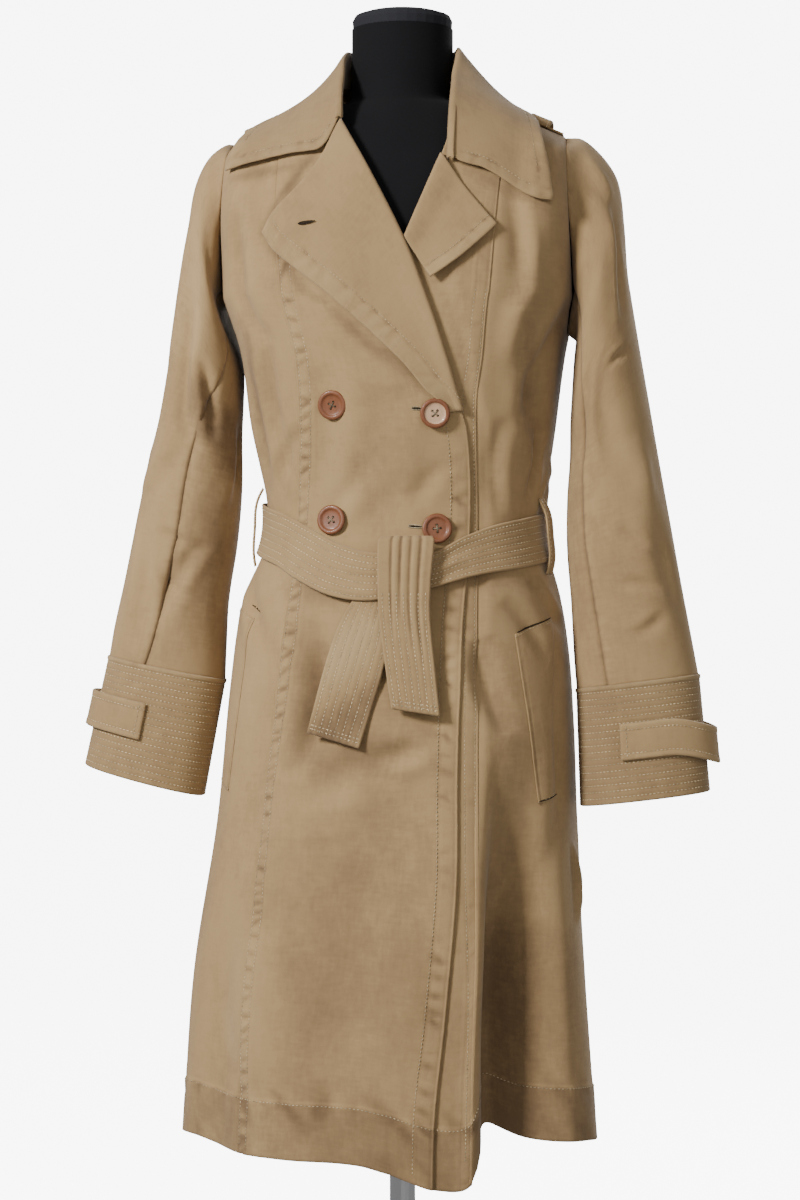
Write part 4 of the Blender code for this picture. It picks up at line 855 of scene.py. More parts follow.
def fill_weave(tree, given):
    """Twill lines and slubs, from lengths along the cloth in metres."""
    vector = given["Vector"]
    wave = new_node(tree, "ShaderNodeTexWave", {
        "Vector": vector, "Scale": given["Lines"], "Distortion": 1.6, "Detail": 1.0,
        "Detail Scale": 0.6}, wave_type="BANDS", bands_direction="DIAGONAL")
    across = noise(tree, vector, given["Slubs"], 3.0, (1.0, 0.28, 1.0))
    down = noise(tree, vector, given["Slubs"], 3.0, (0.28, 1.0, 1.0))
    slub = maths(tree, "ADD", across, down)
    return {"Height": maths(tree, "ADD", maths(tree, "MULTIPLY", wave.outputs["Fac"], 0.45),
                            maths(tree, "MULTIPLY", slub, 0.7)),
            "Tone": maths(tree, "MULTIPLY", slub, 0.5)}


def fill_washed(tree, given):
    """Uneven colour of washed cotton: cloudy fading, paler worn ridges and painted highlights,
    deeper hollows and painted shade.
    """
    cloud = noise(tree, given["Vector"], given["Cloud Size"], 4.0, (1.3, 1.3, 0.7))
    mottle = noise(tree, given["Vector"], 70.0, 4.0)
    faded = maths(tree, "ADD", shifted(tree, cloud, 0.36, 0.66, -0.2, 0.26),
                  shifted(tree, mottle, 0.3, 0.7, -0.09, 0.09))
    faded = maths(tree, "ADD", faded, shifted(tree, given["Tone"], 0.3, 0.7, -0.16, 0.16))
    # Tone above 0.5 goes to the worn colour, with the painted highlights; below 0.5 to the deep
    # colour, with the painted shade.
    worn = maths(tree, "ADD", shifted(tree, given["Wear And Shade"], 0.5, 1.0, 0.0, 0.9), faded)
    deep = maths(tree, "SUBTRACT", shifted(tree, given["Wear And Shade"], 0.0, 0.5, 0.9, 0.0), faded)
    colour = given["Colour"]
    for share, other in ((worn, given["Worn And Highlight Colour"]), (deep, given["Deep And Shade Colour"])):
        share = maths(tree, "MINIMUM", maths(tree, "MAXIMUM", share, 0.0), 1.0)
        colour = blended(tree, share, colour, other)
    return {"Colour": colour, "Roughness": shifted(tree, mottle, 0.3, 0.7, 0.8, 0.92)}


def new_finish(name, paint):
    """Material, made once: paint(tree, place) gives what its shader's sockets are fed with."""
    made = bpy.data.materials.get(name)
    if made is None:
        made = bpy.data.materials.new(name)
        made.use_nodes = True
        tree = made.node_tree
        fed = paint(tree, tree.nodes.new("ShaderNodeTexCoord").outputs)
        for socket, value in fed.items():
            feed(tree, tree.nodes["Principled BSDF"].inputs[socket], value)
    return made


# The coat's twills: how light each is beside the coat's own colour, and its slot. The darker
# copies for the collar, whose upper side catches more of the light, for the wearer's left cuff, on
# the side away from the key light, and for the under front, in its strip beside the top front's
# edge, paint in shade.
Twill = namedtuple("Twill", "tint slot")
TWILLS = {
    "twill": Twill(1.0, "twill"), "twill_under": Twill(0.94, "twill_under"),
    "twill_turned": Twill(0.92, "twill_turned"), "twill_collar_shaded": Twill(0.86, "twill_turned"),
    "twill_shaded": Twill(0.8, "twill_turned"),
}


def cloth_finish(twill):
    """Washed cotton twill, with its lines, slubs and fading, and how worn it is mixed with the
    painted shade and highlights that its attribute carries.
    """
    look, tint = bpy.context.scene.coat_cloth, TWILLS[twill].tint

    def paint(tree, place):
        weave = new_node(tree, "ShaderNodeGroup", node_tree=node_group(
            "Twill weave", {"Vector": (0.0, 0.0, 0.0), "Lines": 520.0, "Slubs": 260.0},
            {"Height": "Float", "Tone": "Float"}, fill_weave))
        feed(tree, weave.inputs["Vector"], place["UV"])
        washed = new_node(tree, "ShaderNodeGroup", node_tree=node_group(
            "Washed cotton", {
                "Vector": (0.0, 0.0, 0.0), "Colour": (0.4, 0.3, 0.2, 1.0),
                "Worn And Highlight Colour": (0.5, 0.4, 0.3, 1.0), "Deep And Shade Colour": (0.3, 0.2, 0.1, 1.0),
                "Wear And Shade": 0.5, "Tone": 0.5, "Cloud Size": 9.0},
            {"Colour": "Color", "Roughness": "Float"}, fill_washed))
        worn = new_node(tree, "ShaderNodeAttribute", attribute_name="wear")
        for socket, value in {
                "Vector": place["Object"], "Colour": scaled(look.colour, tint),
                "Worn And Highlight Colour": scaled(look.worn, tint), "Deep And Shade Colour": scaled(look.deep, tint),
                "Wear And Shade": worn.outputs["Fac"], "Tone": weave.outputs["Tone"]}.items():
            feed(tree, washed.inputs[socket], value)
        return {"Base Color": washed.outputs["Colour"], "Roughness": washed.outputs["Roughness"],
                "Sheen Weight": 0.12, "Sheen Roughness": 0.5, "Specular IOR Level": 0.25,
                "Normal": bump(tree, weave.outputs["Height"], 0.35, 0.0004)}
    return new_finish(f"{twill}_cloth", paint)


def thread_finish(name="thread_pale", depth=1.0):
    """Topstitching thread, rubbed thin in places."""
    thread = bpy.context.scene.coat_cloth.thread

    def paint(tree, place):
        shade = shifted(tree, noise(tree, place["Object"], 75.0, 4.0), 0.36, 0.62, 0.0, 1.0)
        return {"Base Color": blended(tree, shade, scaled(thread, 0.46 * depth),
                                      scaled(thread, 1.05 * depth)),
                "Roughness": 0.6, "Specular IOR Level": 0.3}
    return new_finish(name, paint)


def tan_thread():
    return thread_finish("thread_tan", 0.74)


def jersey_finish(name, colour):
    """Fine knit of the dress form's cover."""
    def paint(tree, place):
        knit = noise(tree, place["Object"], 900.0, 2.0, (1.0, 1.0, 0.35))
        cloud = noise(tree, place["Object"], 14.0, 3.0)
        tone = maths(tree, "ADD", maths(tree, "MULTIPLY", knit, 0.5),
                     maths(tree, "MULTIPLY", cloud, 0.5))
        return {"Base Color": blended(tree, tone, scaled(colour, 0.7), scaled(colour, 1.4)),
                "Roughness": shifted(tree, knit, 0.3, 0.7, 0.82, 0.95),
                "Sheen Weight": 0.02, "Specular IOR Level": 0.06,
                "Normal": bump(tree, knit, 0.3, 0.0003)}
    return new_finish(name, paint)


def horn_finish(name, colour):
    """Moulded button with a streaked, slightly worn gloss."""
    def paint(tree, place):
        streak = noise(tree, place["Object"], 220.0, 4.0, (1.0, 1.0, 0.2))
        scratch = noise(tree, place["Object"], 900.0, 2.0, (0.2, 1.0, 1.0))
        return {"Base Color": blended(tree, streak, scaled(colour, 0.62), scaled(colour, 1.35)),
                "Roughness": shifted(tree, scratch, 0.3, 0.7, 0.38, 0.58),
                "Coat Weight": 0.05, "Specular IOR Level": 0.35,
                "Normal": bump(tree, scratch, 0.15, 0.0001)}
    return new_finish(name, paint)


def steel_finish():
    """Brushed steel of the stand."""
    steel = bpy.context.scene.coat_trim.steel

    def paint(tree, place):
        grain = noise(tree, place["Object"], 160.0, 5.0, (1.0, 1.0, 0.06))
        return {"Base Color": blended(tree, grain, scaled(steel, 0.85), scaled(steel, 1.12)),
                "Roughness": shifted(tree, grain, 0.3, 0.7, 0.26, 0.42), "Metallic": 1.0,
                "Normal": bump(tree, grain, 0.1, 0.0002)}
    return new_finish("brushed_steel", paint)


# ---- the body of the coat -------------------------------------------------------------------

# Offsets from a stitched edge where the net is closer, to hold its band's small relief.
BAND_OFFSETS = [0.0, 0.0011, 0.0022, 0.0034, 0.0055, 0.008, 0.0105, 0.0125, 0.014, 0.0158,
                0.0185]
ROWS = 420


def panel_turns(edges, climb, columns, dense):
    """Turns across a panel at each climb, closer together beside stitched edges."""
    first, last = edges[0](climb), edges[1](climb)
    width = np.linalg.norm(plain(last, climb) - plain(first, climb), axis=-1)
    offsets = np.array(BAND_OFFSETS)
    columns += (columns + (dense[0] != dense[1])) % 2 == 0
    shares = []
    for j in range(len(climb)):
        near = np.minimum(offsets / width[j], 0.3 * offsets / offsets[-1])
        start = near if dense[0] else np.array([0.0, 0.0011 / width[j]])
        end = near if dense[1] else np.array([0.0, 0.0011 / width[j]])
        middle = np.linspace(start[-1], 1.0 - end[-1], columns + 2)[1:-1]
        shares.append(np.concatenate([start, middle, 1.0 - end[::-1]]))
    return mix(first[:, None], last[:, None], np.array(shares))


OVER = -RIM * CLOTH  # an edge that lies over its neighbour ends, rounded, on the seam
UNDER = 0.0016  # how far one that lies under it runs on
IN_SLEEVE = 0.003


def lapped(net, left, right, away=None):
    """The net with each side edge ended on its seam, or run on and sunk under its neighbour."""
    normals, moved = facing_out(net, away=away), net.copy()
    for end, beside, level, reach in ((0, 1, 3, left), (-1, -2, -4, right)):
        step, up = net[:, end] - net[:, beside], normals[:, level]
        step = step - up * (step * up).sum(-1, keepdims=True)
        reach = np.broadcast_to(reach, len(net))
        reach = np.maximum(reach, -0.45 * np.linalg.norm(step, axis=-1))[:, None]
        sink = np.maximum(reach, 0.0) * np.where(reach > 0.002, 0.55, 1.1)
        moved[:, end] += unit(step) * reach - up * sink
        moved[:, beside] -= up * 0.25 * sink
    return moved


def side_lap(side, climb, below):
    """Laps of a panel's edge at the side: into the sleeve above the underarm."""
    return np.where(climb > UNDERARM[side], IN_SLEEVE, below)


def panel(node, edges, columns, twill, laps, dense=(True, True), out=0.0, layer="top"):
    climb = np.linspace(HEM, SHOULDER_CLIMB, ROWS + 1)
    turns = panel_turns(edges, climb, columns, dense)
    climbs = np.broadcast_to(climb[:, None], turns.shape)
    deep = out(turns, climbs) if callable(out) else out
    net, wear = coat(turns, climbs, deep, layer)
    net = lapped(net, *[lap(climb) if callable(lap) else lap for lap in laps])
    cloth(node, net, facing_out(net), twill, wear=wear)


def tuck_under(turn, climb):
    """The under front lies one layer below the top front, up to just past its edge."""
    edge = SEAMS["top_edge"](climb)
    return -TUCK * (1.0 - ease((turn - edge - 6.0) / 5.0))


def make_fronts():
    panel("front_right_side", (lambda climb: armhole_turn(-1, climb), SEAMS["right_princess"]),
          21, "twill", (lambda climb: side_lap(-1, climb, OVER), UNDER), (False, False))
    panel("front_right_centre", (SEAMS["right_princess"], SEAMS["top_edge"]), 31, "twill",
          (OVER, OVER))
    # The under front's centre panel is a darker copy of the cloth: painted shade in its strip
    # beside the top front's edge.
    panel("front_left_centre", (seam_turn(UNDER_FRONT_EDGE), SEAMS["left_princess"]), 28,
          "twill_under", (OVER, OVER), (False, True), tuck_under, "under")
    panel("front_left_side", (SEAMS["left_princess"], lambda climb: armhole_turn(1, climb)), 41,
          "twill", (UNDER, lambda climb: side_lap(1, climb, OVER)), (False, False), tuck_under,
          "under")


def neck_climb(turn, climb):
    """Climb of the back at these turns, where the neckline cuts it."""
    x = plain(turn, climb)[..., 0]
    inside = np.clip(1.0 - (x / NECK_HALF_WIDTH) ** 2, 0.0, 1.0)
    y = np.maximum(NECK_HALF_DEPTH * np.sqrt(inside), 0.0005)
    top = plan_place(x, y)[1]
    share = (climb - CHEST_LINE) / (SHOULDER_CLIMB - CHEST_LINE)
    cut = (np.abs(x) < NECK_HALF_WIDTH - 0.0001) & (share > 0.0)
    return np.where(cut, mix(CHEST_LINE, top, share), climb)


def make_back():
    rows = []
    ways = np.cos(np.radians(np.linspace(0.0, 180.0, 25)))
    climb = np.linspace(HEM, SHOULDER_CLIMB, ROWS + 1)
    for height in climb:
        neck = 180.0 - turn_at(NECK_HALF_WIDTH * ways, height)
        first = 180.0 - float(armhole_turn(1, height))
        last = 180.0 - float(armhole_turn(-1, height))
        rows.append(np.concatenate([np.linspace(first, neck[0], 23), neck[1:],
                                    np.linspace(neck[-1], last, 23)[1:]]))
    turns = np.array(rows)
    climbs = neck_climb(turns, np.broadcast_to(climb[:, None], turns.shape))
    net, wear = coat(turns, climbs)
    net = lapped(net, side_lap(1, climb, UNDER), side_lap(-1, climb, UNDER))
    cloth("back", net, facing_out(net), "twill", wear=wear)


def sew_body():
    """Rows of stitching on the body: princess seams, front edge and hem."""
    thread, lift = tan_thread(), THREAD_LIFT
    runs = [seam_run("right_princess", offset, 0.455, 1.3, lift) for offset in (0.0026, 0.0118)]
    runs += [seam_run("left_princess", offset, 0.47, 1.25, lift, "under", tuck_under)
             for offset in (-0.0026, -0.0122)]
    runs += [seam_run("top_edge", -0.018, 0.455, 1.13, lift)]
    edge = float(SEAMS["top_edge"](0.497))
    for start, end, layer in ((-88.5, edge - 1.0, "top"), (edge + 1.0, 271.0, "under")):
        turn = np.arange(start, end, 0.8)
        climb = np.full(turn.shape, HEM_SEAM - 0.003)
        deep = np.where(turn < 90.0, tuck_under(turn, climb), 0.0) if layer == "under" else 0.0
        runs.append(coat(turn, climb, deep + lift, layer)[0])
    sew("body", runs, thread)


# ---- lapels and collar ----------------------------------------------------------------------

RIGHT_LAPEL = {
    "roll": [(-0.0487, 1.408), (-0.017, 1.353), (0.0142, 1.2914), (0.0396, 1.2244),
             (0.0526, 1.1834), (0.0611, 1.1527), (0.066, 1.137)],
    "outer": [(-0.1184, 1.3048), (-0.107, 1.288), (-0.088, 1.2716), (-0.0525, 1.243),
              (0.0128, 1.1835), (0.0353, 1.1564), (0.0447, 1.148), (0.056, 1.136)],
    "top": [(-0.0487, 1.408), (-0.0642, 1.3772), (-0.0852, 1.349), (-0.108, 1.3246),
            (-0.1184, 1.3048)],
    "bottom": [(0.066, 1.137), (0.056, 1.136)],
}
LEFT_LAPEL = {
    "roll": [(0.049, 1.3725), (0.033, 1.334), (0.0165, 1.296)],
    "outer": [(0.0987, 1.3085), (0.0845, 1.2945), (0.0651, 1.2776), (0.04, 1.26)],
    "top": [(0.049, 1.3725), (0.057, 1.362), (0.0693, 1.345), (0.0826, 1.3283),
            (0.0987, 1.3085)],
    "bottom": [(0.0165, 1.296), (0.028, 1.278), (0.04, 1.26)],
}
LAPEL_ROLL = 0.004
LAPEL_EDGE = 0.0035


def coons(outline, across, down):
    """Net of (x, height) between four curves: top, bottom, roll (start) and outer (end)."""
    u, v = np.linspace(0.0, 1.0, across + 1)[None, :, None], np.linspace(0, 1, down + 1)
    v = v[:, None, None]
    top, bottom = along(outline["top"], u[0, :, 0]), along(outline["bottom"], u[0, :, 0])
    start, end = along(outline["roll"], v[:, 0, 0]), along(outline["outer"], v[:, 0, 0])
    flat = mix(mix(top[0], top[-1], u), mix(bottom[0], bottom[-1], u), v)
    return mix(top[None], bottom[None], v) + mix(start[:, None], end[:, None], u) - flat


def lapel_net(outline, lift, across, down):
    """Lapel lying on its front, its near edge rolling over from the front's own edge."""
    flat = coons(outline, across, down)
    i, j = np.arange(across + 1) / across, np.arange(down + 1)[:, None] / down
    roll = LAPEL_ROLL * (1.0 - ease(2.5 * i)) * (1.0 - 0.5 * j) + LAPEL_EDGE * i ** 3
    net = on_front(flat[..., 0], flat[..., 1], lift + roll)
    foot = on_front(flat[:, 0, 0], flat[:, 0, 1], -CLOTH * 0.4)
    rise = net[:, 0] - foot
    tall = np.linalg.norm(rise, axis=-1, keepdims=True)
    aside = net[:, 0] - net[:, 1]
    aside = unit(aside - unit(rise) * (aside * unit(rise)).sum(-1, keepdims=True))
    curl = [foot + rise * (0.5 - 0.5 * math.cos(angle)) + aside * tall * 0.55 * math.sin(angle)
            for angle in np.linspace(0.05, math.pi, 8)[:-1]]
    return np.concatenate([np.stack(curl, 1), net], 1)


def edge_relief(net, normals, side, distance, seed, lift=0.0004, pucker=0.0006, spacing=0.016):
    """Net with a topstitched edge: a slightly thicker band with soft puckers in it."""
    turned = from_side(net, side)
    far, way = lengths_across(turned), lengths_across(np.swapaxes(turned, 0, 1))[0][:, None]
    inside = 1.0 - ease((far - distance) / 0.002)
    across = np.clip(far / distance, 0.0, 1.0)
    height = lift * inside - pucker * inside * (0.3 + 0.7 * across) * puckers(
        way + 0 * far, far, spacing, seed)
    height -= 0.0006 * bell(far - distance + 0.001, 0.0014)
    height = height[:, ::-1] if side in ("right", "bottom") else height
    height = np.swapaxes(height, 0, 1) if side in ("top", "bottom") else height
    return net + normals * height[..., None], height


def make_lapels():
    for name, outline, down, seed, band, end in (
            ("lapel_right", RIGHT_LAPEL, 100, 31, 0.017, 0.96),
            ("lapel_left", LEFT_LAPEL, 44, 37, 0.011, 0.9)):
        net = lapel_net(outline, TUCK + 0.0002, 34, down)
        normals = facing_out(net)
        wide = ease((np.arange(net.shape[1]) - 8) / 6.0)[None, :]
        raised, height = edge_relief(net, normals, "right", band, seed)
        net = mix(net, raised, wide[..., None])
        # The puckered edge band's hollows darker, painted shade, its raised parts paler, part wear
        # and part painted highlight.
        cloth(name, net, facing_out(net), "twill_turned", wear=0.5 + height * wide * 500)
        runs = [edge_run(net, normals, "right", band, 0.0002, 0.03, end)]
        sew(name, runs, tan_thread(), FINE_THREAD)
    make_slits()


Station = namedtuple("Station", "way fold_x fold_y fold_lift edge_x edge_y edge_lift hug")
COLLAR = table(Station, [
    (0.0, -0.049, -0.0785, 0.0075, -0.156, -0.043, 0.006, 2.5),
    (0.14, -0.053, -0.048, 0.025, -0.14, -0.034, 0.008, 2.8),
    (0.28, -0.0548, -0.008, 0.042, -0.118, -0.002, 0.008, 2.8),
    (0.39, -0.045, 0.034, 0.049, -0.095, 0.045, 0.0075, 2.0),
    (0.5, 0.0, 0.056, 0.049, 0.0, 0.0775, 0.007, 1.6),
    (0.61, 0.045, 0.034, 0.049, 0.095, 0.045, 0.0075, 1.6),
    (0.72, 0.0556, -0.008, 0.045, 0.112, -0.002, 0.008, 1.6),
    (0.86, 0.055, -0.04, 0.025, 0.129, -0.035, 0.0085, 1.6),
    (1.0, 0.053, -0.074, 0.0075, 0.145, -0.056, 0.006, 1.6),
])
COLLAR_END_RIGHT = [(-0.0487, 1.413), (-0.064, 1.383), (-0.0918, 1.379),
                    (-0.1228, 1.374), (-0.156, 1.366)]
COLLAR_END_LEFT = [(0.056, 1.372), (0.068, 1.366), (0.0836, 1.362), (0.0967, 1.3556),
                   (0.1097, 1.347), (0.1336, 1.3345), (0.1485, 1.3326)]
COLLAR_END_REACH = 0.14


def collar_leaf(way, share):
    """Points of the collar's leaf at one way along it, from its fold to its outer edge."""
    fold = np.array([float(read(COLLAR, "fold_x", way)), float(read(COLLAR, "fold_y", way))])
    edge = np.array([float(read(COLLAR, "edge_x", way)), float(read(COLLAR, "edge_y", way))])
    plan = mix(fold, edge, share[:, None])
    turn, climb = plan_place(plan[:, 0], plan[:, 1])
    upper = (1.0 - share) ** float(read(COLLAR, "hug", way))
    lift = mix(float(read(COLLAR, "edge_lift", way)), float(read(COLLAR, "fold_lift", way)),
               upper)
    lying = share
    for end, outline in ((0.0, COLLAR_END_RIGHT), (1.0, COLLAR_END_LEFT)):
        near = float(ease(1.0 - abs(way - end) / COLLAR_END_REACH))
        if near > 0.0:
            points = along(outline, share)
            end_turn, end_climb = front_place(points[:, 0], points[:, 1])
            turn, climb = mix(turn, end_turn, near), mix(climb, end_climb, near)
            lift = mix(lift, mix(0.0075, 0.0062, share), near)
            lying = np.maximum(share, near)
    upright = vec(0.0 * lift, 0.0 * lift, lift)
    raised = outward(turn, climb) * lift[:, None]
    return plain(turn, climb) + mix(upright, raised, lying[:, None])


def collar_stand(way, fold):
    """The stand's inner side, from its foot up to the fold."""
    inwards = unit(np.array([-fold[0], -0.25 * fold[1], 0.0]))
    tall = float(ease(1.6 - abs(way - 0.5) * 3.4))
    foot = np.array([fold[0] * 1.06, fold[1] * 1.02, fold[2] - 0.004 - 0.032 * tall])
    return np.stack([foot, mix(foot, fold, 0.55) + inwards * 0.0015,
                     fold - np.array([0.0, 0.0, 0.0035]) + inwards * 0.0032])


def make_collar():
    share = np.linspace(0.0, 1.0, 11)
    net = []
    for way in np.linspace(0.0, 1.0, 85):
        leaf = collar_leaf(way, share)
        net.append(np.concatenate([collar_stand(way, leaf[0]), leaf]))
    net = resample(resample(np.array(net), 150, 0), 48, 1)
    normals = facing_out(net)
    raised, height = edge_relief(net, normals, "right", 0.012, 41, 0.0004, 0.0009, 0.015)
    raised, ends = edge_relief(raised, normals, "top", 0.011, 43, 0.0003, 0.0007)
    raised, others = edge_relief(raised, normals, "bottom", 0.011, 47, 0.0003, 0.0007)
    leaf = ease((np.arange(49) - 14) / 6.0)[None, :]
    net = mix(net, raised, leaf[..., None])
    # A darker copy of the cloth for the collar, whose upper side catches more of the light:
    # painted shade. Its puckered edges' hollows darker, painted shade, their raised parts paler,
    # part wear and part painted highlight.
    cloth("collar", net, facing_out(net), "twill_collar_shaded",
          wear=0.5 + (height + ends + others) * leaf * 450)
    runs = [edge_run(net, normals, "right", 0.012, 0.0002, 0.07, 0.93)]
    for side in ("top", "bottom"):
        runs.append(edge_run(net, normals, side, 0.011, 0.0002, 0.36, 0.86))
    sew("collar", runs, tan_thread(), FINE_THREAD)


# ---- sleeves, cuffs and their straps --------------------------------------------------------

Ring = namedtuple("Ring", "outer_x outer_z inner_x inner_z half_depth forward seam")
SLEEVES = {
    -1: table(Ring, [
        (0.171, 1.403, 0.1765, 1.243, 0.0575, 0.003, 152),
        (0.187, 1.3905, 0.1755, 1.232, 0.0595, 0.004, 152),
        (0.1995, 1.364, 0.169, 1.218, 0.0605, 0.006, 150),
        (0.206, 1.326, 0.161, 1.2, 0.061, 0.007, 146),
        (0.213, 1.273, 0.156, 1.18, 0.06, 0.009, 138),
        (0.2226, 1.212, 0.1556, 1.152, 0.057, 0.011, 122),
        (0.2343, 1.154, 0.1565, 1.118, 0.054, 0.012, 102),
        (0.2459, 1.096, 0.156, 1.067, 0.051, 0.014, 91),
        (0.2575, 1.038, 0.16, 1.015, 0.049, 0.016, 90),
        (0.2692, 0.979, 0.168, 0.96, 0.047, 0.018, 88),
        (0.279, 0.934, 0.17, 0.914, 0.045, 0.02, 84),
        (0.2837, 0.906, 0.171, 0.883, 0.043, 0.021, 78),
    ]),
    1: table(Ring, [
        (0.176, 1.402, 0.17, 1.207, 0.0575, 0.003, 125),
        (0.1965, 1.383, 0.1685, 1.198, 0.06, 0.004, 125),
        (0.2095, 1.36, 0.167, 1.188, 0.06, 0.006, 125),
        (0.215, 1.32, 0.166, 1.174, 0.062, 0.007, 125),
        (0.219, 1.27, 0.165, 1.156, 0.06, 0.009, 125),
        (0.228, 1.212, 0.1635, 1.128, 0.057, 0.011, 126),
        (0.238, 1.154, 0.163, 1.094, 0.054, 0.012, 127),
        (0.248, 1.096, 0.1605, 1.055, 0.051, 0.014, 127),
        (0.2585, 1.038, 0.1605, 1.01, 0.049, 0.016, 127),
        (0.269, 0.979, 0.1645, 0.958, 0.047, 0.018, 123),
        (0.28, 0.921, 0.1675, 0.905, 0.045, 0.02, 118),
        (0.286, 0.889, 0.17, 0.875, 0.043, 0.021, 116),
    ]),
}
CUFF_END = {-1: Ring(0.306, 0.802, 0.1906, 0.772, 0.043, 0.026, 70),
            1: Ring(0.2963, 0.78, 0.1741, 0.765, 0.043, 0.026, 108)}
CUFF_CLOTH = 0.0026
SLEEVE_GAP = {-1: 0.0006, 1: 0.0003}
SLEEVE_ROUND = 2.2
BACK_SEAM = -105.0
SLEEVE_CREASES = {
    -1: table(Crease, [
        (60, 0.02, 40, 0.34, -0.0016, 0.01), (88, 0.1, 120, 0.3, -0.0022, 0.008),
        (75, 0.22, 112, 0.16, -0.0014, 0.006), (70, 0.3, 110, 0.26, -0.0016, 0.006),
        (20, 0.36, 62, 0.52, 0.0014, 0.012), (95, 0.48, 70, 0.78, -0.003, 0.011),
        (120, 0.52, 90, 0.7, -0.0024, 0.009), (40, 0.62, 62, 0.9, 0.0015, 0.014),
        (16, 0.45, -12, 0.72, -0.0012, 0.014), (-40, 0.2, -70, 0.5, -0.002, 0.012),
        (-60, 0.55, -90, 0.75, -0.0022, 0.012), (-30, 0.7, -45, 0.95, 0.0012, 0.012),
        (150, 0.35, 175, 0.6, -0.0018, 0.01),
    ]),
    1: table(Crease, [
        (58, 0.96, 42, 0.7, -0.0032, 0.008), (40, 0.97, 30, 0.76, 0.0018, 0.009),
        (84, 0.66, 40, 0.64, -0.0014, 0.004), (92, 0.7, 66, 0.4, -0.0016, 0.012),
        (60, 0.5, 46, 0.26, 0.0014, 0.013), (86, 0.34, 58, 0.28, -0.0012, 0.006),
        (92, 0.22, 50, 0.18, -0.0013, 0.006), (88, 0.1, 52, 0.14, -0.0012, 0.007),
        (24, 0.1, 30, 0.44, -0.0014, 0.012), (-36, 0.26, -66, 0.52, -0.002, 0.012),
        (-58, 0.6, -86, 0.78, -0.0022, 0.012), (-24, 0.72, -48, 0.94, 0.0012, 0.012),
        (120, 0.5, 108, 0.72, -0.002, 0.01),
    ]),
}
SLEEVE_PAINTED_SHADES = {  # painted shade (negative) and painted highlight (positive), placed as the creases are: the dark inside of the arm, the under piece, and paler cloth where the head turns from the light
    -1: table(Crease, [
        (112, 0.5, 96, 0.66, -0.5, 0.017), (135, 0.04, 132, 0.62, -0.28, 0.032),
        (158, 0.44, 142, 0.64, -0.5, 0.022), (82, 0.66, 74, 0.96, 0.36, 0.015),
        (40, 0.6, 44, 0.92, 0.2, 0.022),
    ]),
    1: table(Crease, [(60, 0.3, 56, 0.86, 0.08, 0.016), (140, 0.1, 136, 0.66, -0.2, 0.03)]),
}


def mix_ring(first, second, share):
    return Ring(*[mix(a, b, share) for a, b in zip(first, second)])


def ring_points(side, ring, angles, out=0.0):
    """Points of a sleeve's ring: angle 0 is its outer side, 90 its front, 180 the body's."""
    outer = np.array([side * ring.outer_x, -ring.forward, ring.outer_z])
    inner = np.array([side * ring.inner_x, -ring.forward, ring.inner_z])
    reach = (outer - inner) / 2.0
    turned = np.radians(angles)
    cosine, sine = (power(part, 2.0 / SLEEVE_ROUND) for part in (np.cos(turned), np.sin(turned)))
    out = np.broadcast_to(out, np.shape(angles))
    stretch = 1.0 + out / np.linalg.norm(reach)
    forward = vec(0.0 * sine, -(ring.half_depth + out) * sine, 0.0 * sine)
    return (outer + inner) / 2.0 + reach * (stretch * cosine)[:, None] + forward


def armhole_points(side, angles):
    """Points of the armhole's edge that meet the sleeve at these angles of its head."""
    low_z = plain(side * 90.0, UNDERARM[side])[2]
    high_z = plain(armhole_turn(side, SHOULDER_CLIMB), SHOULDER_CLIMB)[2]
    height = mix(low_z, high_z, 0.5 + 0.5 * np.cos(np.radians(angles)))
    low = np.full(len(angles), UNDERARM[side])
    high = np.full(len(angles), SHOULDER_CLIMB)
    for _ in range(24):
        middle = (low + high) / 2.0
        below = plain(armhole_turn(side, middle), middle)[:, 2] < height
        low, high = np.where(below, middle, low), np.where(below, high, middle)
    turn = armhole_turn(side, low)
    turn = np.where(np.sin(np.radians(angles)) < 0, side * 180.0 - turn, turn)
    return plain(turn, low) + np.array([side * SLEEVE_GAP[side], 0.0, 0.0])


UPPER_COLUMNS, UNDER_COLUMNS = 52, 36


def sleeve_angles(ring):
    upper = np.linspace(BACK_SEAM, ring.seam, UPPER_COLUMNS + 1)
    return np.concatenate([upper, np.linspace(ring.seam, 360.0 + BACK_SEAM,
                                              UNDER_COLUMNS + 1)[1:-1]])


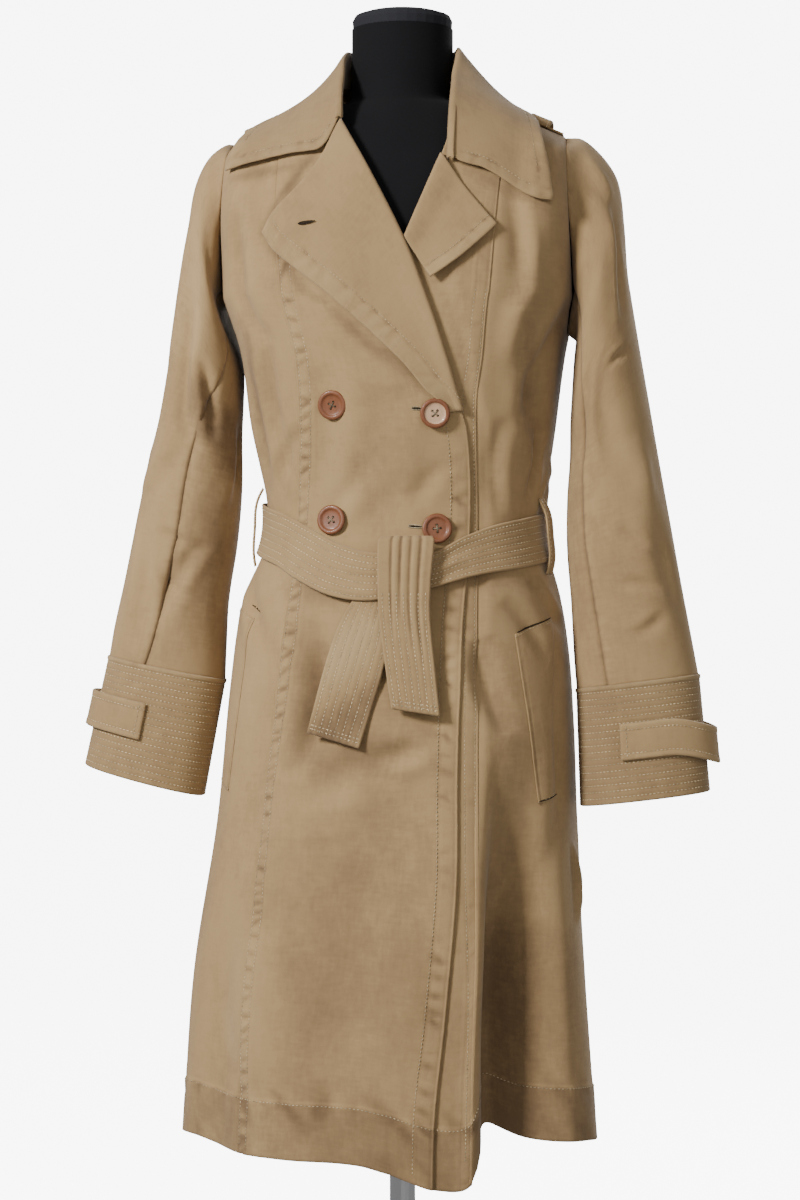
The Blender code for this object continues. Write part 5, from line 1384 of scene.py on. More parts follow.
def make_sleeve(side):
    """Two-piece sleeve: the upper piece over the outer side, the under piece by the body."""
    word, rings = WORDS[side], SLEEVES[side]
    net = [ring_points(side, ring, sleeve_angles(ring)) for ring in reversed(rings)]
    net.append(armhole_points(side, sleeve_angles(rings[0])))
    knots = running([np.linalg.norm(after - before, axis=-1).mean()
                     for before, after in zip(net, net[1:])])
    seam = curve(knots, [ring.seam for ring in reversed(rings)] + [rings[0].seam],
                 np.linspace(0.0, knots[-1], 129))
    net = resample(np.array(net), 128, 0)
    angles = np.array([sleeve_angles(rings[0]._replace(seam=value)) for value in seam])
    normals = facing_out(net, closed=True)
    way = np.linspace(0.0, 1.0, 129)[:, None]
    length, degree = 0.56, 0.00092
    placed, shades = [[
        Crease(c.x0 * degree, c.y0 * length, c.x1 * degree, c.y1 * length, c.depth, c.width)
        for c in marks[side]] for marks in (SLEEVE_CREASES, SLEEVE_PAINTED_SHADES)]
    around = (angles + 180.0) % 360.0 - 180.0
    height = bpy.context.scene.coat_cloth.crease * creased(
        around * degree, way * length + 0 * around, placed) * ease((1.0 - way) / 0.06)
    off = (angles - seam[:, None]) * degree
    fine = -0.0007 * bell(off, 0.0016) + 0.0003 * bell(off + 0.006, 0.005)
    fine -= 0.0004 * bell(off + 0.004, 0.006) * puckers(way * length + 0 * off, off, 0.016, 53)
    head = (1.0 - way) * length
    fine = fine - 0.0005 * bell(head - 0.003, 0.006) * puckers(
        angles * degree + 0.5, head + 0 * angles, 0.014, 59)
    net = net + normals * (height + fine)[..., None]
    # The seam's groove and the puckers' hollows darker, painted shade, and the sleeve's lines of
    # painted shade and painted highlight.
    wear = 0.5 + fine * 420.0 + shaded(around * degree, way * length + 0 * around, shades)
    count = len(net[0])
    columns = {"upper": list(range(UPPER_COLUMNS + 1)),
               "under": list(range(UPPER_COLUMNS, count)) + [0]}
    for half, take in columns.items():
        away = net[64].mean(0)
        lap = OVER if half == "upper" else UNDER
        part = lapped(net[:, take], lap, lap, away)
        cloth(f"sleeve_{word}_{half}", part, facing_out(part, away=away), "twill",
              wear=wear[:, take])


CUFF_ROWS = 17
CUFF_TWIST = {-1: 70.0, 1: 108.0}  # angle of the cuff's own seam
# The wearer's left cuff, on the side away from the key light, takes a darker copy of the cloth:
# painted shade.
CUFF_TWILL = {-1: "twill_turned", 1: "twill_shaded"}


def cuff_ring(side, share):
    return mix_ring(CUFF_END[side], SLEEVES[side][-1], share)


def make_cuff(side):
    """Deep cuff, quilted by its rows of stitching, with its seam and the rows themselves."""
    word, angles = WORDS[side], np.arange(0.0, 360.0, 3.0)
    steps = CUFF_ROWS * 7 + 8
    share = np.linspace(0.0, 1.0, steps + 1)
    row_shares = (np.arange(CUFF_ROWS) + 0.8) / (CUFF_ROWS + 0.6)
    chance = np.random.default_rng(61)
    net = []
    wave = np.abs(share[:, None] - row_shares[None]).min(1) * (CUFF_ROWS + 0.6)
    quilt = 0.00026 * (ease(wave / 0.5) - 0.6)
    quilt += 0.0008 * ease((share - 0.965) / 0.012)
    for value, raised in zip(share, quilt):
        off = (angles - CUFF_TWIST[side]) * 0.001
        seam = -0.0008 * bell(off, 0.0015)
        net.append(ring_points(side, cuff_ring(side, value), angles,
                               0.0006 + raised + seam + 0.0002 * np.sin(angles / 19.0 + value)))
    net = np.array(net)
    normals = facing_out(net, closed=True)
    # Paler puffs between the rows, part wear and part painted highlight, and darker grooves at the
    # rows, painted shade.
    wear = np.broadcast_to((0.5 + 380 * quilt)[:, None], net.shape[:2])
    cloth(f"cuff_{word}", net, normals, CUFF_TWILL[side],
          CUFF_CLOTH, closed=True, wear=wear)
    runs = []
    for value in row_shares:
        row, shift = row_between(net, normals, value * steps), int(chance.integers(0, 6))
        runs.append(np.concatenate([row[shift:], row[:shift + 1]]))
    sew(f"cuff_{word}", runs, thread_finish())
    make_cuff_strap(side, word)


Strap = namedtuple("Strap", "start end low high")
CUFF_STRAPS = {-1: Strap(86.0, -75.0, 0.36, 0.67), 1: Strap(104.0, -75.0, 0.36, 0.66)}
STRAP_DROOP = {-1: 0.0, 1: 0.13}
STRAP_STAND_OFF = {-1: 0.0045, 1: 0.0085}
STRAP_THICKNESS = 0.0026


def make_cuff_strap(side, word):
    """Strap over the cuff's outer side, standing away from it round the outer edge."""
    strap = CUFF_STRAPS[side]
    angles = np.linspace(strap.start, strap.end, 90)
    bend = ease(1.0 - np.abs(angles) / 70.0)
    away = 0.0006 + STRAP_THICKNESS + LAYER + STRAP_STAND_OFF[side] * bend
    rows = []
    for share in np.linspace(strap.low, strap.high, 19):
        line = [ring_points(side, cuff_ring(side, share - STRAP_DROOP[side] * lean),
                            np.array([angle]), np.array([off]))[0]
                for angle, lean, off in zip(angles, bend, away)]
        rows.append(line)
    net = np.array(rows)
    middle = ring_points(side, cuff_ring(side, 0.5), np.array([180.0]))[0]
    normals = facing_out(net, away=middle)
    edge = np.abs(np.linspace(-1.0, 1.0, 19))[:, None]
    height = 0.0004 * ease((edge - 0.72) / 0.06) - 0.0003 * bell(edge - 0.7, 0.05)
    net = net + normals * (height + 0 * angles)[..., None]
    # Raised edges paler, part wear and part painted highlight, and the groove by them darker,
    # painted shade.
    cloth(f"cuff_strap_{word}", net, facing_out(net, away=middle), "twill",
          STRAP_THICKNESS, wear=0.5 + 500 * (height + 0 * angles))
    runs = [edge_run(net, normals, side_name, 0.0055) for side_name in ("top", "bottom")]
    runs.append(edge_run(net, normals, "left", 0.0055, 0.0002, 0.12, 0.88))
    sew(f"cuff_strap_{word}", runs, thread_finish())


# ---- belt -----------------------------------------------------------------------------------

BeltMark = namedtuple("BeltMark", "turn height half_width out")
BELT = table(BeltMark, [
    (-180, 1.03, 0.0235, 0.0048), (-120, 1.03, 0.0235, 0.0048), (-90, 1.03, 0.024, 0.0056),
    (-50, 1.018, 0.024, 0.0056), (-32, 1.003, 0.024, 0.0058), (-15, 0.986, 0.0232, 0.0092),
    (-3, 0.98, 0.021, 0.0096), (12, 0.986, 0.015, 0.0092), (26, 1.0, 0.0185, 0.0064),
    (45, 1.01, 0.0215, 0.005), (90, 1.022, 0.0225, 0.0045), (140, 1.028, 0.0235, 0.0048),
    (180, 1.03, 0.0235, 0.0048),
])
BELT_THICKNESS = 0.0028
BELT_ROWS = 7
QUILTED = 0.86  # how far out from the belt's middle its rows reach, as a share of half its width


def quilt_height(across):
    """Height across the belt between its rows, across running from -1 to 1."""
    places = np.linspace(-QUILTED, QUILTED, BELT_ROWS)
    near = np.abs(across[..., None] - places).min(-1) * (BELT_ROWS - 1) / QUILTED
    return 0.00032 * (ease(near) - 0.6)


def belt_rows(net, normals):
    """The belt's rows of stitching, on a net whose rows run along it."""
    places = (np.linspace(-QUILTED, QUILTED, BELT_ROWS) + 1.0) / 2.0 * (len(net) - 1)
    return [row_between(net, normals, index) for index in places]


def make_belt():
    turns = np.arange(-180.0, 180.0, 1.25)
    across = np.linspace(-1.0, 1.0, 43)
    grid_turn, grid_across = np.meshgrid(turns, across)
    height = read(BELT, "height", grid_turn) + grid_across * read(BELT, "half_width", grid_turn)
    quilt = quilt_height(grid_across)
    gather = np.exp(-((np.abs(grid_turn - 6.0) - 12.0) / 9.0) ** 2)
    ruck = 0.0011 * gather * np.sin(grid_across * 6.0 + grid_turn * 0.1)
    sway = 0.0007 * np.sin(np.radians(grid_turn * 7.0) + 1.5 * grid_across)
    out = read(BELT, "out", grid_turn) + quilt + ruck + sway * (1.0 - gather)
    net = smooth_coat(grid_turn, height, out)
    normals = facing_out(net, closed=True, away=(0.0, 0.0, 1.03))
    # Paler puffs between the rows, part wear and part painted highlight, and darker grooves at the
    # rows, painted shade.
    cloth("belt", net, normals, "twill_turned", BELT_THICKNESS, closed=True,
          wear=0.5 + 420 * quilt)
    runs = [np.concatenate([row, row[:1]]) for row in belt_rows(net, normals)]
    sew("belt", runs, thread_finish())


LOOP_CLOTH = 0.002
BeltLoop = namedtuple("BeltLoop", "turn half_width low high bow")
BELT_LOOPS = {-1: BeltLoop(-80.0, 0.005, 0.992, 1.068, 0.011),
              1: BeltLoop(74.0, 0.007, 0.984, 1.056, 0.0105)}


def make_belt_loops():
    for side, word in WORDS.items():
        loop = BELT_LOOPS[side]
        share = np.linspace(0.0, 1.0, 49)
        height = mix(loop.low, loop.high, share)
        out = LOOP_CLOTH + 0.0005 + loop.bow * (1.0 - np.abs(2.0 * share - 1.0) ** 3.0)
        middle = smooth_coat(loop.turn, height, out)
        around = unit(smooth_coat(loop.turn + 2.0, height, out) - middle) * loop.half_width
        across = np.linspace(-1.0, 1.0, 13)
        net = middle[:, None] + around[:, None] * across[None, :, None]
        ridge = 0.0004 * ease((np.abs(across) - 0.55) / 0.15)
        normals = facing_out(net)
        net = net + normals * ridge[None, :, None]
        # Raised edges paler, part wear and part painted highlight.
        cloth(f"belt_loop_{word}", net, normals, "twill", LOOP_CLOTH,
              wear=np.broadcast_to(0.5 + 500 * ridge, net.shape[:2]))
        runs = [edge_run(net, normals, name, 0.0022) for name in ("left", "right")]
        sew(f"belt_loop_{word}", runs, thread_finish(), STRAP_THREAD)


TailMark = namedtuple("TailMark", "way x height half_width out lean")
FRONT_TAIL = table(TailMark, [
    (0.0, 0.0165, 1.018, 0.0225, 0.015, 0.0), (0.08, 0.0163, 1.012, 0.024, 0.0192, 0.0),
    (0.25, 0.0155, 0.98, 0.023, 0.0196, 0.0), (0.42, 0.016, 0.945, 0.022, 0.016, 0.0),
    (0.7, 0.0212, 0.9, 0.0215, 0.013, 3.0), (1.0, 0.027, 0.856, 0.021, 0.0125, 9.0),
])
BACK_TAIL = table(TailMark, [
    (0.0, -0.011, 0.964, 0.0165, 0.0056, 20.0), (0.35, -0.0235, 0.92, 0.025, 0.0062, 22.0),
    (1.0, -0.049, 0.83, 0.0245, 0.0066, 16.0),
])
KNOT = [(-0.005, 0.037), (0.97, 1.004)]
KNOT_OUT = 0.0148
KNOT_THICKNESS = 0.0046
PLEATS = [(-0.52, 0.9, 0.62), (-0.16, 1.0, 0.55), (0.2, 0.8, 0.72), (0.56, 1.0, 0.8)]


def tail_net(marks, across, down, extra):
    way = np.linspace(0.0, 1.0, down + 1)[:, None]
    side = np.linspace(-1.0, 1.0, across + 1)[None, :]
    lean = np.radians(read(marks, "lean", way))
    reach = read(marks, "half_width", way) * side
    x = read(marks, "x", way) + reach * np.cos(lean)
    height = read(marks, "height", way) - reach * np.sin(lean)
    raised = extra(way, side)
    return on_front(x, height, read(marks, "out", way) + raised), raised


def front_tail_relief(way, side):
    """Lengthwise pleats from the knot that fade downwards, then rows of stitching."""
    total = quilt_height(side + 0 * way) * ease((way - 0.3) / 0.2)
    for place, depth, reach in PLEATS:
        fade = ease((reach - way) / 0.35)
        total = total - 0.0016 * depth * fade * bell(side - place - 0.03 * way, 0.045)
        total = total + 0.0007 * fade * bell(side - place - 0.16, 0.1)
    return total


def back_tail_relief(way, side):
    sag = 0.0012 * np.sin(way * 5.0 + side * 1.2)
    return quilt_height(side + 0 * way) + sag * ease(way / 0.2)


def make_belt_ends():
    (left, right), (low, high) = KNOT
    x, height = np.meshgrid(np.linspace(left, right, 33), np.linspace(high, low, 29))
    u, v = np.linspace(-1.0, 1.0, 33)[None], np.linspace(-1.0, 1.0, 29)[:, None]
    swell = KNOT_OUT - 0.003 * np.abs(u) ** 4 - 0.0022 * np.abs(v) ** 4
    swell = swell + 0.0006 * np.sin(u * 8.0 + v * 2.0)
    net = on_front(x, height, swell)
    cloth("belt_knot", net, facing_out(net), "twill_turned", KNOT_THICKNESS)
    for name, marks, extra, down, start in (
            ("belt_tail_front", FRONT_TAIL, front_tail_relief, 96, 0.34),
            ("belt_tail_back", BACK_TAIL, back_tail_relief, 80, 0.0)):
        net, raised = tail_net(marks, 44, down, extra)
        normals = facing_out(net)
        # Pleats' and rows' hollows darker, painted shade, their ridges paler, part wear and part
        # painted highlight.
        cloth(name, net, normals, "twill_turned", BELT_THICKNESS,
              wear=0.5 + 380 * np.clip(raised, -0.0012, 0.0012))
        runs = [row[int(start * down):-2]
                for row in belt_rows(np.swapaxes(net, 0, 1), np.swapaxes(normals, 0, 1))]
        for inset in (0.004, 0.0075):
            runs.append(edge_run(net, normals, "bottom", inset, 0.0002, 0.06, 0.94))
        sew(name, runs, thread_finish())


# ---- buttons and buttonholes ----------------------------------------------------------------

BUTTON_RADIUS = 0.014
BUTTON_THICKNESS = 0.0036
Button = namedtuple("Button", "name x height out turned slot")
BUTTONS = table(Button, [
    ("button_upper_right", -0.054, 1.142, 0.0006, 20, "button_brown"),
    ("button_upper_left", 0.043, 1.134, 0.0034, 4, "button_cream"),
    ("button_lower_right", -0.055, 1.035, 0.0012, 8, "button_brown"),
    ("button_lower_left", 0.044, 1.0265, 0.0012, 50, "button_brown"),
])
Turned = namedtuple("Turned", "radius height")
BUTTON_FACE = table(Turned, [
    (0.0, 0.56), (0.2, 0.555), (0.44, 0.56), (0.58, 0.6), (0.66, 0.66), (0.71, 0.84), (0.75, 0.97),
    (0.81, 1.02), (0.9, 1.0), (0.965, 0.86), (1.0, 0.6), (0.985, 0.34), (0.95, 0.18), (0.8, 0.06),
    (0.0, 0.06),
])
HOLE_PLACE = 0.17  # of the radius, along each axis
HOLE_RADIUS = 0.085
BUTTON_STEPS = 64
HOLE_STEPS = 12


def frame_at(x, height, out):
    """Point and axes on the front: across, up and outwards."""
    turn, climb = front_place(x, height)
    point = coat(turn, climb)[0] + outward(turn, climb) * out
    normal = outward(turn, climb)
    across = unit(np.cross((0.0, 0.0, 1.0), normal))
    return point, across, np.cross(normal, across), normal


def circle(x, y, z, radius, count):
    """Points of a level circle round a place."""
    return [(x + radius * math.cos(angle), y + radius * math.sin(angle), z)
            for angle in np.arange(count) * 2.0 * math.pi / count]


def ring_faces(first, rings, count):
    """Quads between rings of points that follow each other from a first index."""
    return [(low + i, low + count + i, low + count + (i + 1) % count, low + (i + 1) % count)
            for low in range(first, first + (rings - 1) * count, count) for i in range(count)]


def button_mesh(name, radius, thickness, finish):
    """Turned button with four holes cut through it by a Boolean."""
    profile, steps = BUTTON_FACE[1:-1], BUTTON_STEPS
    points = [(0.0, 0.0, BUTTON_FACE[0].height * thickness)]
    for mark in profile:
        points += circle(0.0, 0.0, mark.height * thickness, mark.radius * radius, steps)
    points.append((0.0, 0.0, BUTTON_FACE[-1].height * thickness))
    faces = [(0, 1 + i, 1 + (i + 1) % steps) for i in range(steps)]
    faces += ring_faces(1, len(profile), steps)
    last, base = len(points) - 1, 1 + (len(profile) - 1) * steps
    faces += [(base + i, last, base + (i + 1) % steps) for i in range(steps)]
    mesh = bpy.data.meshes.new(name)
    mesh.from_pydata(points, [], faces)
    mesh.materials.append(finish)
    disc = new_object(f"{name}_horn", mesh)
    cutter_points, cutter_faces = [], []
    for x, y in ((-1, -1), (-1, 1), (1, -1), (1, 1)):
        low, high = len(cutter_points), len(cutter_points) + HOLE_STEPS
        cutter_faces += [(low + i, low + (i + 1) % HOLE_STEPS, high + (i + 1) % HOLE_STEPS,
                          high + i) for i in range(HOLE_STEPS)]
        cutter_faces += [tuple(range(low, high))[::-1], tuple(range(high, high + HOLE_STEPS))]
        for z in (-thickness, 2.0 * thickness):
            cutter_points += circle(x * HOLE_PLACE * radius, y * HOLE_PLACE * radius, z,
                                    HOLE_RADIUS * radius, HOLE_STEPS)
    cutter_mesh = bpy.data.meshes.new("holes")
    cutter_mesh.from_pydata(cutter_points, [], cutter_faces)
    cutter = new_object("holes", cutter_mesh)
    cut = disc.modifiers.new("holes", "BOOLEAN")
    cut.object, cut.operation, cut.solver = cutter, "DIFFERENCE", "EXACT"
    seen = bpy.context.evaluated_depsgraph_get()
    made = bpy.data.meshes.new_from_object(disc.evaluated_get(seen), depsgraph=seen)
    disc.modifiers.remove(cut)
    disc.data = made
    bpy.data.objects.remove(cutter)
    made.shade_smooth()
    made.set_sharp_from_angle(angle=math.radians(50))
    return disc


def make_buttons():
    trim = bpy.context.scene.coat_trim
    brown = horn_finish("button_brown_horn", trim.brown)
    cream = horn_finish("button_cream_horn", trim.cream)
    thread = thread_finish("thread_button", 0.34)
    for button in BUTTONS:
        point, across, up, normal = frame_at(button.x, button.height, button.out)
        made = button_mesh(button.name, BUTTON_RADIUS, BUTTON_THICKNESS, brown)
        if button.slot == "button_cream":
            made.data.materials.append(cream)
            for face in made.data.polygons:
                middle = face.center
                if math.hypot(middle.x, middle.y) < 0.7 * BUTTON_RADIUS and middle.z > 0.001:
                    face.material_index = 1
        turned = math.radians(button.turned)
        first = across * math.cos(turned) + up * math.sin(turned)
        second = np.cross(normal, first)
        to_place(made.data, point, first, second, normal)
        declare(made, button.name)
        hole, high = HOLE_PLACE * BUTTON_RADIUS, 0.6 * BUTTON_THICKNESS
        runs = []
        for a, b in (((-1, -1), (1, 1)), ((-1, 1), (1, -1))):
            ends = [point + first * hole * s + second * hole * t + normal * height
                    for (s, t), height in ((a, high * 0.6), (a, high * 1.15),
                                           (b, high * 1.15), (b, high * 0.6))]
            for shift in (-0.00035, 0.0, 0.00035):
                runs.append(np.array(ends) + first * shift)
        tie = tube_runs(f"{button.name}_thread", runs, 0.00028, thread)
        declare(tie)


def to_place(mesh, origin, across, up, normal):
    """Moves a mesh's points from its own axes to a place, leaving its object at the origin."""
    count = len(mesh.vertices)
    points = np.empty(count * 3, np.float32)
    mesh.vertices.foreach_get("co", points)
    points = points.reshape(-1, 3).astype(float)
    axes = np.stack([across, up, normal])
    mesh.vertices.foreach_set("co", (points @ axes + origin).astype(np.float32).ravel())
    mesh.update()


def tube_runs(name, runs, radius, finish, sides=6):
    """Threads as thin tubes along runs of points."""
    points, faces = [], []
    for run in runs:
        tangent = unit(np.gradient(run, axis=0))
        side = unit(np.cross(tangent, (0.3, 0.2, 0.93)))
        other = np.cross(tangent, side)
        first = len(points)
        for place, a, b in zip(run, side, other):
            points += [place + radius * (a * math.cos(t) + b * math.sin(t))
                       for t in np.arange(sides) * 2.0 * math.pi / sides]
        last = first + (len(run) - 1) * sides
        faces += ring_faces(first, len(run), sides)
        faces += [tuple(range(first, first + sides)), tuple(range(last, last + sides))[::-1]]
    return mesh_object(name, points, faces, finish)


# Dark strips of painted shadow for the buttonholes' and pocket mouths' openings: where each runs,
# how far out it lies, how wide it is and whether it is bound.
Slit = namedtuple("Slit", "x0 z0 x1 z1 out wide bound")
SLITS = {
    "buttonhole_lapel": Slit(-0.084, 1.3105, -0.068, 1.3128, TUCK + 0.0026, 0.0012, False),
    "buttonhole_upper": Slit(0.0215, 1.1385, 0.033, 1.138, 0.0, 0.0008, True),
    "buttonhole_lower": Slit(0.0175, 1.029, 0.032, 1.028, 0.0, 0.0008, True),
    "pocket_mouth_right": Slit(-0.1405, 0.956, -0.129, 0.949, 0.0, 0.0006, False),
    "pocket_mouth_left": Slit(0.118, 0.9295, 0.148, 0.9435, 0.0011, 0.0005, False),
    "pocket_foot_left": Slit(0.141, 0.7715, 0.156, 0.777, 0.0011, 0.0005, False),
}


def make_slits():
    """Dark strips laid on the cloth as painted shadow in its openings, the buttonholes bound with
    close stitches.
    """
    def paint(tree, place):
        return {"Base Color": blended(tree, noise(tree, place["Object"], 400.0, 2.0),
                                      (0.012, 0.008, 0.005, 1.0), (0.03, 0.02, 0.012, 1.0)),
                "Roughness": 0.95, "Specular IOR Level": 0.1}
    thread, dark = tan_thread(), new_finish("slit_shadow", paint)
    for name, slit in SLITS.items():
        share = np.linspace(0.0, 1.0, 15)
        x, height = mix(slit.x0, slit.x1, share), mix(slit.z0, slit.z1, share)
        turn, climb = front_place(x, height)
        if name == "buttonhole_lapel":
            line = smooth_coat(turn, climb, slit.out)
        else:
            line = coat(turn, climb, slit.out, "top" if slit.bound else "under")[0]
        normal = outward(turn, climb)
        cross = unit(np.cross(normal, np.gradient(line, axis=0)))
        lens = np.sin(share ** 0.7 * math.pi)
        taper = (0.25 * slit.wide + slit.wide * lens)[:, None]
        net = np.stack([line - cross * taper, line, line + cross * taper], 1)
        net = net + normal[:, None] * np.array([0.0003, 0.0002, 0.0003])[None, :, None]
        made = shell(name, net, facing_out(net), dark, 0.0004)
        declare(made)
        if not slit.bound:
            continue
        runs = []
        for sign in (-1.0, 1.0):
            edge = line + cross * (taper + 0.0004) * sign + normal * 0.0003
            for start, end in zip(edge[:-1], edge[1:]):
                for part in (0.0, 0.5):
                    middle = mix(start, end, part)
                    runs.append(np.array([middle - cross[0] * 0.0005, middle,
                                          middle + cross[0] * 0.0005]))
        bound = tube_runs(f"{name}_thread", runs, 0.00024, thread, 5)
        declare(bound)


# ---- pockets and epaulettes -----------------------------------------------------------------

WELTS = {
    -1: [(-0.1365, 0.943), (-0.1535, 0.953), (-0.169, 0.785), (-0.158, 0.778)],
    1: [(0.116, 0.9278), (0.1481, 0.944), (0.1537, 0.7751), (0.141, 0.769)],
}
WELT_LIFT = {-1: 0.0005, 1: 0.0011}


def make_pockets():
    thread = tan_thread()
    for side, word in WORDS.items():
        inner_top, outer_top, outer_bottom, inner_bottom = WELTS[side]
        outline = {"top": [inner_top, outer_top], "bottom": [inner_bottom, outer_bottom],
                   "roll": [inner_top, inner_bottom], "outer": [outer_top, outer_bottom]}
        flat = coons(outline, 20, 60)
        turn, climb = front_place(flat[..., 0], flat[..., 1])
        height = relief(turn, climb, "under")[0]
        net = smooth_coat(turn, climb, WELT_LIFT[side] + height)
        normals = facing_out(net)
        raised, fine = edge_relief(net, normals, "left", 0.004, 71 + side, 0.0001, 0.0002, 0.02)
        # The edge band's hollows darker, painted shade, its raised parts paler, part wear and part
        # painted highlight; the whole welt a little darker.
        cloth(f"pocket_welt_{word}", raised, facing_out(raised), "twill",
              0.8 * WELT_LIFT[side], wear=0.45 + 400 * fine)
        runs = [edge_run(raised, normals, name, 0.0022) for name in ("top", "bottom")]
        sew(f"pocket_welt_{word}", runs, thread, 0.00026)
        bars = []
        for corner in (edge_run(raised, normals, "top", 0.004, 0.0003),
                       edge_run(raised, normals, "bottom", 0.004, 0.0003)):
            start, end = corner[-5], corner[-1]
            bars += [np.array([mix(start, end, part), mix(start, end, part + 0.12)])
                     for part in np.linspace(0.0, 0.85, 8)]
        made = tube_runs(f"pocket_bar_tacks_{word}", bars, 0.0004, thread, 6)
        declare(made)


EPAULETTE = {"start": 0.104, "end": 0.155, "middle": 0.003, "half_width": 0.0135,
             "out": 0.0028}
KEEPER = {"half_width": 0.0175, "arch": 0.0075}
KEEPER_SPAN = {-1: (0.138, 0.15), 1: (0.123, 0.142)}
STRAP_CLOTH = 0.0022


def shoulder_points(side, x, y, out):
    turn, climb = plan_place(side * x, y)
    return plain(turn, climb) + outward(turn, climb) * np.asarray(out)[..., None]


def make_epaulettes():
    half, middle = EPAULETTE["half_width"], EPAULETTE["middle"]
    for side, word in WORDS.items():
        x, y = np.meshgrid(np.linspace(EPAULETTE["start"], EPAULETTE["end"], 37),
                           middle + half * np.linspace(-1.0, 1.0, 23), indexing="ij")
        edge = np.abs(y - middle) / half
        out = EPAULETTE["out"] + 0.0003 * ease((edge - 0.7) / 0.08)
        net = shoulder_points(side, x, y, out)
        normals = facing_out(net, away=(side * 0.1, 0.0, 1.2))
        cloth(f"epaulette_{word}", net, normals, "twill_turned", STRAP_CLOTH)
        runs = [edge_run(net, normals, name, 0.004) for name in ("left", "right", "bottom")]
        sew(f"epaulette_{word}", runs, thread_finish(), STRAP_THREAD)
        x, share = np.meshgrid(np.linspace(*KEEPER_SPAN[side], 11), np.linspace(-1, 1, 49),
                               indexing="ij")
        out = 0.0006 + STRAP_CLOTH + KEEPER["arch"] * (1.0 - np.abs(share) ** 4.0)
        net = shoulder_points(side, x, middle + share * KEEPER["half_width"], out)
        normals = facing_out(net, away=(side * 0.1, 0.0, 1.2))
        cloth(f"epaulette_keeper_{word}", net, normals, "twill_turned",
              STRAP_CLOTH)
        runs = [edge_run(net, normals, name, 0.0025) for name in ("top", "bottom")]
        sew(f"epaulette_keeper_{word}", runs, thread_finish(), STRAP_THREAD)


# ---- the dress form and its stand -----------------------------------------------------------

Girth = namedtuple("Girth", "height width front back")
FORM = table(Girth, [
    (0.76, 0.128, 0.09, 0.098), (0.79, 0.139, 0.098, 0.106), (0.86, 0.144, 0.102, 0.11),
    (0.94, 0.134, 0.096, 0.098), (1.04, 0.112, 0.082, 0.08), (1.13, 0.128, 0.094, 0.088),
    (1.2, 0.14, 0.104, 0.098), (1.25, 0.15, 0.106, 0.102),
])
NECK_TOP = 1.512
NECK_RADIUS = 0.049
NECK_FLARE = 0.014
FORM_CLEAR = 0.0074
FORM_SINK = 0.0066


def surface_depth(x, height, front):
    at = np.minimum(height, CHEST_LINE)
    depth = np.where(front, read(SECTIONS, "front", at), read(SECTIONS, "back", at))
    bend = squareness(height)
    flat = 1.0 - np.clip(np.abs(x) / width_at(x, height), 0.0, 1.0) ** bend
    share = np.clip((height - CHEST_LINE) / (shoulder_height(x) - CHEST_LINE), 0.0, 1.0)
    depth = depth * (1.0 - share ** SQUARENESS) ** (1.0 / SQUARENESS)
    return depth * np.maximum(flat, 0.0) ** (1.0 / bend)


def form_reach(turn, height):
    """Distance of the form's surface from its axis, in directions at a height."""
    angle = np.radians(turn)
    sine, cosine = np.sin(angle), np.cos(angle)
    at = min(height, CHEST_LINE)
    width = read(FORM, "width", at)
    depth = np.where(cosine > 0, read(FORM, "front", at), read(FORM, "back", at))
    oval = (np.abs(sine / width) ** 2.2 + np.abs(cosine / depth) ** 2.2) ** (-1.0 / 2.2)
    sunk = np.where(cosine > 0.02, FORM_SINK, FORM_CLEAR)
    low, high = np.zeros(len(turn)), np.full(len(turn), 0.3)
    for _ in range(30):
        middle = (low + high) / 2.0
        x = middle * sine
        inside = middle * np.abs(cosine) < surface_depth(x, height + sunk, cosine > 0)
        inside &= np.abs(x) < 0.152
        low, high = np.where(inside, middle, low), np.where(inside, high, middle)
    hull = np.maximum(low - sunk, 0.0)
    reach = mix(oval, hull, ease((height - 1.2) / 0.08)) if height > 1.2 else oval
    flare = np.clip((1.462 - height) / 0.045, 0.0, 1.0)
    return np.maximum(reach, NECK_RADIUS + NECK_FLARE * flare ** 2.5)


def make_form():
    """Torso and neck in one body of stretched jersey, with a seam down centre back."""
    trim = bpy.context.scene.coat_trim
    turn = np.arange(0.0, 360.0, 3.0)
    heights = np.concatenate([np.linspace(0.76, 1.3, 46), np.linspace(1.307, NECK_TOP, 58)])
    angle = np.radians(turn)
    net = []
    for height in heights:
        reach = form_reach(turn, height)
        reach = reach - 0.0006 * bell((turn - 180.0) * 0.002, 0.002)
        net.append(vec(reach * np.sin(angle), -reach * np.cos(angle),
                       np.full(len(turn), height)))
    net = np.array(net)
    rows, columns = net.shape[:2]
    faces = grid_faces(rows, columns, True).tolist()
    faces.append(list(range(columns))[::-1])
    faces.append([(rows - 1) * columns + i for i in range(columns)])
    made = mesh_object("form_body", net.reshape(-1, 3), faces,
                       jersey_finish("jersey_cover", trim.jersey))
    made.data.set_sharp_from_angle(angle=math.radians(60))
    declare(made, "form_torso")
    keep_node("form_cap", jersey_finish("jersey_cap_cover", trim.cap))
    keep_node("stand_pole", steel_finish())
    keep_node("stand_base", steel_finish())


def keep_node(name, finish):
    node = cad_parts[name]
    for index in range(len(node.material_slots)):
        node.material_slots[index].material = finish
    if not node.material_slots:
        node.data.materials.append(finish)


# ---- studio ---------------------------------------------------------------------------------

SWEEP_REACH = 6.0  # from the middle to where the floor starts to turn up
SWEEP_BEND = 2.0
SWEEP_TOP = 8.0
SWEEP_STEPS = 96
CAMERA_TURN = 6.5
CAMERA_DISTANCE = 2.8
CAMERA_HEIGHT = 0.96
LENS = 86.6
SHIFT = -2.5 / 1200.0


